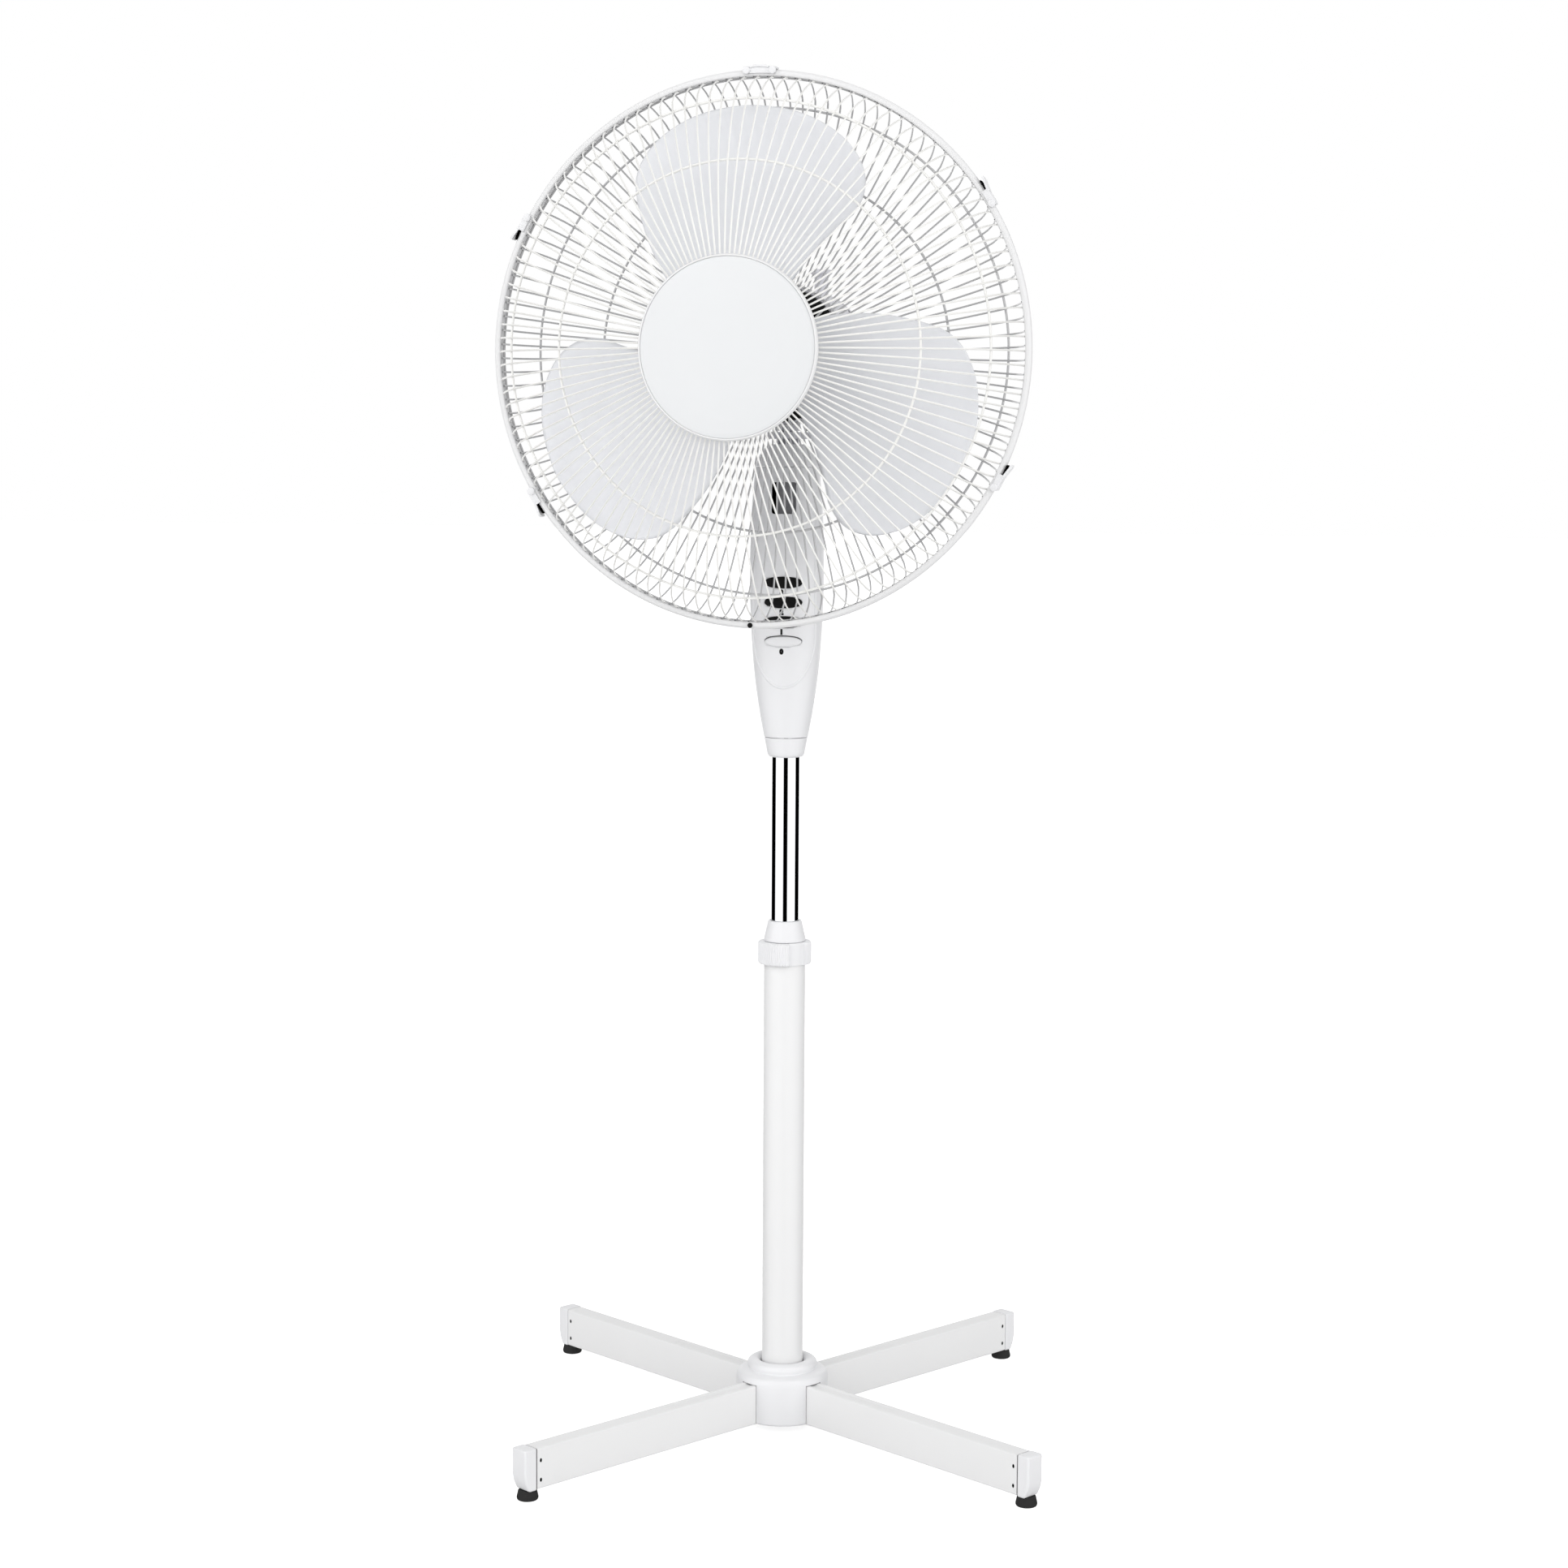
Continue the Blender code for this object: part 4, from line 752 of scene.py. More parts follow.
@dataclass
class Column:
    """Control column: shell, bead, keys with their digits, ferrule, neck dome and screws."""

    body: str = "mast"
    low: float = 0.5750
    seam: float = 0.5916
    high: float = 0.8165
    wall: float = 0.0022
    levels: tuple[float, ...] = (0.5750, 0.6100, 0.6450, 0.6800, 0.7800, 0.8165)
    widths: tuple[float, ...] = (0.0150, 0.0217, 0.0266, 0.0293, 0.0293, 0.0265)
    depth_ratios: tuple[float, float] = (1.0, 0.92)
    power: float = 2.5
    key_top: float = 0.7217
    key_pitch: float = 0.0163
    key_half_width: float = 0.0152
    key_half_height: float = 0.0044
    key_front: float = 0.0292
    key_back: float = 0.0165
    key_gaps: tuple[tuple[float, float], ...] = ((0.0005, 0.0), (0.0005, 0.0), (0.0005, 0.0),
                                                 (0.0004, 0.0004))
    digit_drop: float = 0.0084
    digit_aside: float = -0.0013
    digit_size: float = 0.0054
    digit_weight: float = 0.00060
    bead_half_span: float = 0.0255
    bead_middle: float = 0.680
    bead_drop: float = 0.0455
    bead_top: float = 0.795
    slot_half_width: float = 0.0100
    slot_low: float = 0.7780
    slot_high: float = 0.8040
    digits: tuple[int, ...] = (3, 2, 1, 0)

    def measures(self, height: Array) -> tuple[Array, Array, Array]:
        """Return the half width, half depth and power of the skin at each height."""
        half_width = smooth_values(np.array(self.levels), np.array(self.widths), height)
        share = np.minimum(1.0, 2.0 * (height - self.low) / (self.high - self.low))
        ratio = self.depth_ratios[0] + (self.depth_ratios[1] - self.depth_ratios[0]) * share
        return half_width, half_width * ratio, 2.0 + (self.power - 2.0) * share

    def front(self, across: Array, height: Array) -> Array:
        """Return how far forward the skin lies: b (1 - |x/a|^n)^(1/n)."""
        half_width, half_depth, power = self.measures(height)
        inner = np.clip(1.0 - np.abs(across / half_width) ** power, 0.0, 1.0)
        return half_depth * inner ** (1.0 / power)

    def skin(self, heights: Array, grow: float = 0.0, columns: int = 144) -> Array:
        """Return the skin's grid of points at some heights."""
        half_width, half_depth, power = self.measures(heights)
        angles = circle(columns)[None]
        across, deep = superellipse((half_width + grow)[:, None], (half_depth + grow)[:, None],
                                    power[:, None], angles)
        return np.stack((across, deep, np.broadcast_to(heights[:, None], across.shape)), axis=-1)

    def key_height(self, row: int) -> float:
        """Return the height of a key, counted from the top."""
        return self.key_top - row * self.key_pitch

    def forwards(self, shape: Shape, height: float) -> Shape:
        """Stand a shape drawn along +Z so that it points out of the column's front at a height."""
        return shape.turned(math.pi / 2, "X").moved((0.0, 0.0, height)).turned(COLUMN_TURN)

    def openings(self) -> Shape:
        """Return the cutters of the four key holes and of the slot for the neck."""
        holes = []
        for row, (gap, lift) in enumerate(self.key_gaps):
            across, up = superellipse(self.key_half_width + gap, self.key_half_height + gap, 2.25, circle(56))
            holes.append(self.forwards(prism(np.column_stack((across, up + lift)), 0.012, 0.045),
                                       self.key_height(row)))
        half, middle = self.slot_half_width, (self.slot_low + self.slot_high) / 2
        reach = (self.slot_high - self.slot_low) / 2
        outline = np.array(((-half, -reach), (half, -reach), (half, reach), (-half, reach)))
        slot = prism(softened(outline, 0.0022, 5, True), 0.0150, 0.0450)
        return Shape.joined(*holes, self.forwards(slot, middle))

    def bead(self) -> Shape:
        """Return the raised bead: an arch on the skin, half an ellipse below and straight sides above."""
        turn = np.linspace(-math.pi / 2, math.pi / 2, 61)
        arch = np.column_stack((self.bead_half_span * np.sin(turn),
                                self.bead_middle - self.bead_drop * np.cos(turn)))
        rise = np.linspace(self.bead_top, self.bead_middle, 40)[:-1]
        side = np.column_stack((np.full(39, -self.bead_half_span), rise))
        other = side[::-1] * np.array((-1.0, 1.0))
        flat = np.concatenate((side, arch, other))
        forward = self.front(flat[:, 0], flat[:, 1])
        path = np.column_stack((flat[:, 0], -forward + 0.0006, flat[:, 1]))
        return tube_along(path, round_section(0.0014, 10), np.array((0.0, 1.0, 0.0))).turned(COLUMN_TURN)

    def digit(self, number: int, height: float) -> Shape:
        """Return one printed digit, laid on the skin as a thin film."""
        curve = bpy.data.curves.new("digit", "FONT")
        curve.body = str(number)
        curve.size = self.digit_size
        curve.align_x = "CENTER"
        curve.align_y = "CENTER"
        curve.resolution_u = 4
        curve.offset = self.digit_weight
        holder = bpy.data.objects.new("digit", curve)
        bpy.context.scene.collection.objects.link(holder)
        bpy.context.view_layer.update()
        mesh = bpy.data.meshes.new_from_object(holder.evaluated_get(bpy.context.evaluated_depsgraph_get()))
        flat = np.empty(len(mesh.vertices) * 3)
        mesh.vertices.foreach_get("co", flat)
        flat = flat.reshape(-1, 3)
        faces = [list(face.vertices) for face in mesh.polygons]
        bpy.data.objects.remove(holder)
        bpy.data.curves.remove(curve)
        across, level = flat[:, 0] + self.digit_aside, flat[:, 1] + height
        points = np.column_stack((across, -self.front(across, level) - 0.00008, level))
        return Shape(points, faces).turned(COLUMN_TURN)

    def ferrule(self) -> Shape:
        """Return the ferrule: the skin carried down to a rolled lower edge, with a bore for the tube."""
        heights = np.array((0.5750, 0.5754, 0.5762, 0.5775, 0.5800, 0.5860, self.seam - 0.0006,
                            self.seam - 0.0001))
        grow = np.array((-0.0022, -0.0011, -0.0004, 0.0, 0.0, 0.0, -0.0001, -0.0006))
        rings = [self.skin(heights[index:index + 1], grow[index], 96)[0] for index in range(len(heights))]
        bore = np.column_stack((0.0122 * np.cos(circle(96)), 0.0122 * np.sin(circle(96))))
        top = np.column_stack((bore, np.full(96, self.seam - 0.0006)))
        bottom = np.column_stack((bore, np.full(96, self.low)))
        return grid_shape(np.stack((*rings, top, bottom)), wrap_rows=True,
                          wrap_columns=True).turned(COLUMN_TURN)

    def neck(self) -> Shape:
        """Return the dome on the column: rings that shrink upwards and then line the opening for the yoke."""
        steps = ((0.8168, 0.0262, 0.0242, 2.4), (0.8176, 0.0263, 0.0243, 2.4), (0.8215, 0.0251, 0.0235, 2.4),
                 (0.8255, 0.0233, 0.0221, 2.4), (0.8290, 0.0212, 0.0206, 2.5), (0.8320, 0.0188, 0.0190, 2.6),
                 (0.8342, 0.0162, 0.0180, 2.8), (0.8350, 0.0140, 0.0174, 3.2), (0.8350, 0.0112, 0.0168, 4.0),
                 (0.8345, 0.0099, 0.0164, 5.0), (0.8330, 0.0095, 0.0161, 6.0), (0.8170, 0.0095, 0.0161, 6.0))
        table = np.array(steps)
        across, deep = superellipse(table[:, 1:2], table[:, 2:3], table[:, 3:4], circle(96)[None])
        points = np.stack((across, deep, np.broadcast_to(table[:, :1], across.shape)), axis=-1)
        return grid_shape(points, wrap_rows=True, wrap_columns=True).turned(COLUMN_TURN)

    def build(self) -> None:
        """Make and dress every piece of the column."""
        rows = np.concatenate((np.linspace(self.seam + 0.0003, self.seam + 0.0015, 4),
                               np.linspace(self.seam + 0.003, self.high - 0.002, 96),
                               (self.high - 0.0006, self.high)))
        grid = self.skin(rows)
        grid[0, :, :2] *= 0.985
        grid[-1, :, :2] *= 0.985
        shell = add_piece("column_shell", grid_shape(grid, wrap_columns=True).turned(COLUMN_TURN), PLASTIC,
                          self.body, ("column_front", "column_back"), sharp=50.0)
        # Painted shade: the wall's inside and the walls cut round the key holes and the neck slot are black,
        # as the shade inside the column.
        thicken(shell, self.wall, DARK)
        hollow_out(shell, self.openings(), DARK)
        add_piece("column_bead", self.bead(), PLASTIC, self.body)
        add_piece("ferrule", self.ferrule(), PLASTIC, self.body, ("column_ferrule",))
        add_piece("neck_dome", self.neck(), PLASTIC, self.body, ("neck_collar",))
        for row, number in enumerate(self.digits):
            crown = 0.0030 if number == 0 else 0.0016
            key = pillow(self.key_half_width, self.key_half_height, 2.2, self.key_back,
                         self.key_front + 0.0006, crown)
            finish = PLASTIC if number == 0 else BLACK
            add_piece(f"key_cap_{number}", self.forwards(key, self.key_height(row)), finish,
                      f"key_{number}_body", (f"key_{number}",), sharp=45.0)
            mark = self.digit(number, self.key_height(row) - self.digit_drop)
            add_piece(f"digit_{number}", mark, INK, self.body, tidy=False)
        dress(BLACK, "switch_block")
        dress(ZINC, "column_screw_0", "column_screw_1", "tilt_bolt", "tilt_nut")
        dress(GREY, "tilt_yoke")
        dress(ZINC, "swing_link")


# Head -------------------------------------------------------------------------------------------------------


@dataclass
class HeadFrame:
    """Places shapes drawn in the head's own frame: X right, Y up, Z forward from the swing axis."""

    centre: float = field(init=False)
    band_forward: float = field(init=False)

    def __post_init__(self) -> None:
        """Read the head's height and the rim's place from the model."""
        low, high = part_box("guard_band")
        self.centre = (low.z + high.z) / 2
        self.band_forward = -(low.y + high.y) / 2

    def matrix(self) -> Matrix:
        """Return the frame as a matrix."""
        return Matrix.Translation((0.0, 0.0, self.centre)) @ Matrix.Rotation(math.pi / 2, 4, "X")

    def place(self, shape: Shape, forward: float = 0.0) -> Shape:
        """Send a shape from the head's frame, moved forward, to the model's."""
        return shape.moved((0.0, 0.0, forward)).sent(self.matrix())


@dataclass
class WireGuards:
    """Front and rear guards: radial wires, rings welded across them, rim, cap and clips."""

    head: HeadFrame
    body: str = "head"
    wires: int = 120
    wire_radius: float = 0.00074
    ring_radius: float = 0.00100
    front_phase: float = 0.0
    rear_phase: float = 0.4
    front_path: tuple[tuple[float, float], ...] = (
        (0.2145, -0.0010), (0.2133, 0.0060), (0.2105, 0.0150), (0.2062, 0.0245), (0.2010, 0.0325),
        (0.1948, 0.0385), (0.1750, 0.0520), (0.1454, 0.0674), (0.1100, 0.0805), (0.0700, 0.0906),
        (0.0660, 0.0914))
    rear_path: tuple[tuple[float, float], ...] = (
        (0.2145, 0.0010), (0.2134, -0.0060), (0.2106, -0.0150), (0.2058, -0.0245), (0.2005, -0.0325),
        (0.1937, -0.0370), (0.1700, -0.0450), (0.1442, -0.0509), (0.1250, -0.0538), (0.1150, -0.0546),
        (0.1110, -0.0556), (0.1070, -0.0576), (0.1030, -0.0581), (0.0800, -0.0581), (0.0575, -0.0581))
    stay_path: tuple[tuple[float, float], ...] = ((0.0600, -0.0581), (0.0490, -0.0581), (0.0390, -0.0581))
    stays: int = 12
    front_rings: tuple[tuple[float, float], ...] = (
        (0.1938, 0.0371), (0.1446, 0.0658), (0.0690, 0.0896))
    rear_rings: tuple[tuple[float, float], ...] = (
        (0.2146, -0.0058), (0.1947, -0.0386), (0.1446, -0.0526), (0.0580, -0.0598), (0.0395, -0.0594))
    band_inner: float = 0.2147
    band_outer: float = 0.2200
    band_half_depth: float = 0.0042
    cap_radius: float = 0.0712
    clip_angles: tuple[float, ...] = (32.5, 152.0, 212.0, -27.5)
    top_clip_angle: float = 89.7
    screw_angle: float = -91.2

    def wire_cage(self, path: tuple[tuple[float, float], ...], phase: float, count: int, stations: int,
                  sides: int = 4) -> Shape:
        """Return all the radial wires of one guard.

        A smooth path of (radius, depth) points is thickened by a circle in the plane of its own normal and
        the sideways direction, and every wire is that one tube turned about the axis.

        Args:
            path: The wire's own path.
            phase: Angle of the first wire, as a share of the spacing.
            count: Number of wires.
            stations: Points along a wire.
            sides: Sides of a wire.

        Returns:
            The wires, in the rim's frame.
        """
        line = smooth_curve(np.array(path), stations, 1.35)
        tangent = np.gradient(line, axis=0)
        tangent /= np.linalg.norm(tangent, axis=1, keepdims=True)
        normal = np.stack((-tangent[:, 1], tangent[:, 0]), axis=1)
        turn = circle(sides)
        plane = line[:, None] + self.wire_radius * np.cos(turn)[None, :, None] * normal[:, None]
        aside = np.broadcast_to(self.wire_radius * np.sin(turn), plane.shape[:2])
        angles = (circle(count) + phase * math.tau / count)[:, None, None]
        x = plane[None, ..., 0] * np.cos(angles) - aside[None] * np.sin(angles)
        y = plane[None, ..., 0] * np.sin(angles) + aside[None] * np.cos(angles)
        points = np.stack((x, y, np.broadcast_to(plane[None, ..., 1], x.shape)), axis=-1)
        tube = grid_faces(stations, sides, wrap_columns=True)
        starts = (np.arange(count) * stations * sides)[:, None, None]
        faces = (tube[None] + starts).reshape(-1, 4).tolist()
        return Shape(points.reshape(-1, 3), faces)

    def ring_wire(self, radius: float, depth: float, thick: float, steps: int = 240) -> Shape:
        """Return one welded ring: a circle of section carried round the axis."""
        turn = circle(8)[::-1]
        profile = np.column_stack((radius + thick * np.cos(turn), depth + thick * np.sin(turn)))
        return lathe(profile, steps)

    def cap(self) -> Shape:
        """Return the cap's face: a low dome."""
        profile = np.array(((0.0, 0.1012), (0.0200, 0.1010), (0.0400, 0.1003), (0.0560, 0.0992),
                            (0.0655, 0.0980), (0.0691, 0.0972), (0.0691, 0.0954), (0.0660, 0.0960),
                            (0.0400, 0.0982), (0.0, 0.0990)))
        return lathe(softened(profile, 0.0005, 4), 160)

    def cap_rim(self) -> Shape:
        """Return the raised lip round the cap's face, with a rolled outer edge."""
        radius, inner = self.cap_radius, 0.0691
        profile = np.array(((inner + 0.0001, 0.0936), (inner + 0.0001, 0.0974), (inner + 0.0005, 0.0981),
                            (inner + 0.0012, 0.0979), (radius - 0.0003, 0.0966), (radius, 0.0954),
                            (radius, 0.0936), (radius - 0.0012, 0.0932)))
        return lathe(softened(profile, 0.0005, 3, True), 160)

    def band(self) -> Shape:
        """Return the rim: a turned channel with a crowned outer face and rolled edges."""
        deep, inner, outer = self.band_half_depth, self.band_inner, self.band_outer
        profile = np.array(((inner, -deep + 0.0006), (inner + 0.0010, -deep), (outer - 0.0020, -deep),
                            (outer - 0.0003, -deep + 0.0018), (outer, 0.0), (outer - 0.0003, deep - 0.0018),
                            (outer - 0.0020, deep), (inner + 0.0010, deep), (inner, deep - 0.0006),
                            (inner, deep - 0.0018), (inner, -deep + 0.0018)))
        return lathe(softened(profile, 0.0006, 3, True), 288)

    def rear_plate(self) -> Shape:
        """Return the round plate that the rear wires are welded to, with a rolled edge and a pressed rib."""
        profile = np.array(((0.0206, -0.0570), (0.0300, -0.0570), (0.0315, -0.0562), (0.0345, -0.0562),
                            (0.0360, -0.0570), (0.0400, -0.0570), (0.0400, -0.0582), (0.0206, -0.0582)))
        return lathe(softened(profile, 0.0005, 3, True), 96)

    def hooked(self, half_span: float, proud: float) -> Shape:
        """Return a clip's body: a hooked section carried a short way round the rim, in the clip's own frame.

        Its frame has X outward from the rim's outer face, Y along the rim and Z forward.
        """
        near = self.band_half_depth + 0.0003
        section = np.array(((-0.0035, -near - 0.0013), (proud, -near - 0.0013), (proud, near + 0.0013),
                            (-0.0035, near + 0.0013), (-0.0035, near), (0.0005, near), (0.0005, -near),
                            (-0.0035, -near)))
        section = softened(section, 0.0006, 3, True)
        along = np.linspace(-half_span, half_span, 9)
        fade = 1.0 - 0.10 * (along / half_span) ** 4
        bend = self.band_outer - np.sqrt(self.band_outer**2 - along**2)
        points = np.empty((9, len(section), 3))
        reach = np.where(section[None, :, 0] > 0, fade[:, None], 1.0)
        points[..., 0] = section[None, :, 0] * reach - bend[:, None]
        points[..., 1] = along[:, None]
        points[..., 2] = section[None, :, 1]
        return grid_shape(points, wrap_columns=True, capped=True)

    def clip(self) -> Shape:
        """Return a lever clip: hooked body, a thumb lever that stands off the rim, and a round pivot boss."""
        along = np.linspace(0.0040, 0.0165, 12)
        lift = 0.0016 + 0.0022 * np.clip((along - 0.0050) / 0.0100, 0.0, 1.0) ** 1.3
        bend = self.band_outer - np.sqrt(self.band_outer**2 - along**2)
        half = 0.0060 - 0.0012 * np.clip((along - 0.0120) / 0.0045, 0.0, 1.0) ** 2
        section = softened(np.array(((-0.0008, -1.0), (0.0008, -1.0), (0.0008, 1.0), (-0.0008, 1.0))), 0.0004,
                           3, True)
        points = np.empty((12, len(section), 3))
        points[..., 0] = (lift - bend)[:, None] + section[None, :, 0]
        points[..., 1] = along[:, None]
        points[..., 2] = section[None, :, 1] * half[:, None]
        lever = grid_shape(points, wrap_columns=True, capped=True)
        near = self.band_half_depth + 0.0010
        boss = lathe(softened(np.array(((0.0, near), (0.0032, near), (0.0031, near + 0.0018),
                                        (0.0, near + 0.0022))),
                              0.0006, 3), 32).moved((-0.0012, -0.0050, 0.0))
        return Shape.joined(self.hooked(0.0065, 0.0022), lever, boss)

    def clip_gap(self) -> Shape:
        """Return a black block of painted shade that fills the hollow between a lever and the rim."""
        along = np.linspace(0.0068, 0.0150, 6)
        bend = self.band_outer - np.sqrt(self.band_outer**2 - along**2)
        section = np.array(((0.0002, -0.0046), (0.0011, -0.0046), (0.0011, 0.0046), (0.0002, 0.0046)))
        points = np.empty((6, 4, 3))
        points[..., 0] = section[None, :, 0] - bend[:, None]
        points[..., 1] = along[:, None]
        points[..., 2] = section[None, :, 1]
        return grid_shape(points, wrap_columns=True, capped=True)

    def top_clip(self) -> Shape:
        """Return the fixed clip: a long hooked body with a raised bridge between two bosses."""
        near = self.band_half_depth + 0.0010
        boss = lathe(softened(np.array(((0.0, near), (0.0032, near), (0.0030, near + 0.0020),
                                        (0.0, near + 0.0023))),
                              0.0007, 3), 32)
        along = np.linspace(-0.0075, 0.0075, 15)
        arch = 0.0010 * (1.0 - (along / 0.0075) ** 4)
        path = np.column_stack((0.0012 + arch, along, np.full(15, 0.0)))
        section = softened(np.array(((-0.0070, -0.0009), (0.0070, -0.0009), (0.0070, 0.0009),
                                     (-0.0070, 0.0009))),
                           0.0006, 3, True)
        bridge = tube_along(path, section, np.array((1.0, 0.0, 0.0)))
        return Shape.joined(self.hooked(0.0130, 0.0022), boss.moved((-0.0012, -0.0105, 0.0)),
                            boss.moved((-0.0012, 0.0105, 0.0)), bridge)

    def at_rim(self, shape: Shape, degrees: float) -> Shape:
        """Send a shape from a clip's frame to the rim at an angle."""
        return self.head.place(shape.moved((self.band_outer, 0.0, 0.0)).turned(math.radians(degrees)),
                               self.head.band_forward)

    def screw(self) -> Shape:
        """Return the small screw head at the foot of the rim."""
        seat = self.band_half_depth
        profile = np.array(((0.0, seat - 0.003), (0.0010, seat - 0.003), (0.0010, seat), (0.0021, seat),
                            (0.0021, seat + 0.0010), (0.0013, seat + 0.0016), (0.0, seat + 0.0016)))
        return lathe(softened(profile, 0.0005, 3), 32).moved((0.2172 - self.band_outer, 0.0, 0.0))

    def build(self) -> None:
        """Make and dress the guards with everything fixed to them."""
        forward = self.head.band_forward
        front = [self.wire_cage(self.front_path, self.front_phase, self.wires, 15)]
        front += [self.ring_wire(radius, depth, self.ring_radius) for radius, depth in self.front_rings]
        add_piece("front_wires", self.head.place(Shape.joined(*front), forward), WARM_WIRE, self.body,
                  ("front_guard",), tidy=False)
        rear = [self.wire_cage(self.rear_path, self.rear_phase, self.wires, 18),
                self.wire_cage(self.stay_path, self.rear_phase, self.stays, 3)]
        rear += [self.ring_wire(radius, depth, self.ring_radius) for radius, depth in self.rear_rings]
        # The rear wires carry the darker grey of painted shade.
        add_piece("rear_wires", self.head.place(Shape.joined(*rear), forward), SHADED_BACK_WIRE, self.body,
                  ("rear_guard",), tidy=False)
        add_piece("rear_plate", self.head.place(self.rear_plate(), forward), PAINT, self.body)
        add_piece("rim", self.head.place(self.band(), forward), BAND_SKIN, self.body,
                  ("guard_band",))
        add_piece("centre_cap", self.head.place(self.cap(), forward), CAP_SKIN, self.body,
                  ("front_cap",))
        add_piece("cap_rim", self.head.place(self.cap_rim(), forward), PAINT, self.body)
        for index, degrees in enumerate(self.clip_angles):
            add_piece(f"rim_clip_{index}", self.at_rim(self.clip(), degrees), PLASTIC, f"clip_{index}_body",
                      (f"clip_{index}",))
            # Painted shade: a black block fills the hollow under each lever.
            add_piece(f"clip_gap_{index}", self.at_rim(self.clip_gap(), degrees), DARK, f"clip_{index}_body")
        add_piece("rim_clip_top", self.at_rim(self.top_clip(), self.top_clip_angle), PLASTIC, self.body,
                  ("top_clip",))
        add_piece("rim_screw", self.at_rim(self.screw(), self.screw_angle), BLACK, self.body,
                  ("guard_screw",))
        dress(PLASTIC, "guard_nut")


@dataclass
class Rotor:
    """Blades, their hub, the spinner and the shaft."""

    head: HeadFrame
    body: str = "rotor"
    count: int = 3
    phase: float = 90.3
    root: float = 0.0322
    tip: float = 0.1900
    forward: float = 0.1120
    rise: float = 0.036
    camber: float = 0.004
    thickness: float = 0.0020

    def edges(self, radius: Array) -> tuple[Array, Array]:
        """Return a blade's trailing and leading edge angles in degrees at each radius.

        Both are straight runs near the hub that close at the tip as (1 - s^n)^(1/n), s being the share of the
        way through the rounded part.
        """
        late = np.clip((radius - 0.150) / (self.tip - 0.150), 0.0, 1.0)
        trailing = (58.8 - 184.0 * (radius - 0.030)) * (1.0 - late**2.6) ** (1.0 / 2.6)
        near = 35.0 - 9.0 * np.clip(0.130 - radius, 0.0, None) / 0.065
        early = np.clip((radius - 0.135) / (self.tip - 0.135), 0.0, 1.0)
        return trailing, -near * (1.0 - early**2.2) ** (1.0 / 2.2)

    def blade(self, turn: float) -> Shape:
        """Return one blade's sheet: a helix that climbs with the angle, with a sine camber across it."""
        radius = self.root + (self.tip - self.root) * np.sin(np.linspace(0.0, 1.0, 64) * math.pi / 2)
        trailing, leading = self.edges(radius)
        share = np.linspace(0.0, 1.0, 44)
        angle = np.radians(leading[:, None] + (trailing - leading)[:, None] * share[None])
        climb = self.forward + self.rise * angle + self.camber * np.sin(share * math.pi)[None]
        points = np.stack((radius[:, None] * np.cos(angle + turn), radius[:, None] * np.sin(angle + turn),
                           climb), axis=-1)
        return grid_shape(points)

    def hub(self) -> Shape:
        """Return the blades' hub: a turned cup with a rounded front edge."""
        profile = np.array(((0.0043, 0.0850), (0.0090, 0.0850), (0.0090, 0.1285), (0.0310, 0.1285),
                            (0.0310, 0.0800), (0.0340, 0.0800), (0.0340, 0.1405), (0.0320, 0.1430),
                            (0.0043, 0.1430)))
        return lathe(softened(profile, 0.0010, 3, True), 96)

    def spinner(self) -> Shape:
        """Return the plain spinner nut in front of the hub."""
        profile = np.array(((0.0, 0.1480), (0.0043, 0.1480), (0.0043, 0.1434), (0.0280, 0.1434),
                            (0.0290, 0.1460), (0.0272, 0.1530), (0.0205, 0.1590), (0.0105, 0.1620),
                            (0.0, 0.1625)))
        return lathe(softened(profile, 0.0012, 4), 96)

    def build(self) -> None:
        """Make and dress the rotor."""
        for index in range(self.count):
            turn = math.radians(self.phase + index * 360.0 / self.count)
            covered = ("blades",) if index == 0 else ()
            blade = add_piece(f"blade_{index}", self.head.place(self.blade(turn)), SMOKE, self.body,
                              covered)
            wall = blade.modifiers.new("Wall", "SOLIDIFY")
            wall.thickness = self.thickness
            wall.offset = 0.0
        add_piece("blade_hub", self.head.place(self.hub()), SMOKE, self.body)
        add_piece("spinner_nut", self.head.place(self.spinner()), PLASTIC, self.body,
                  ("spinner",))
        dress(ZINC, "motor_shaft", "rotor_core")


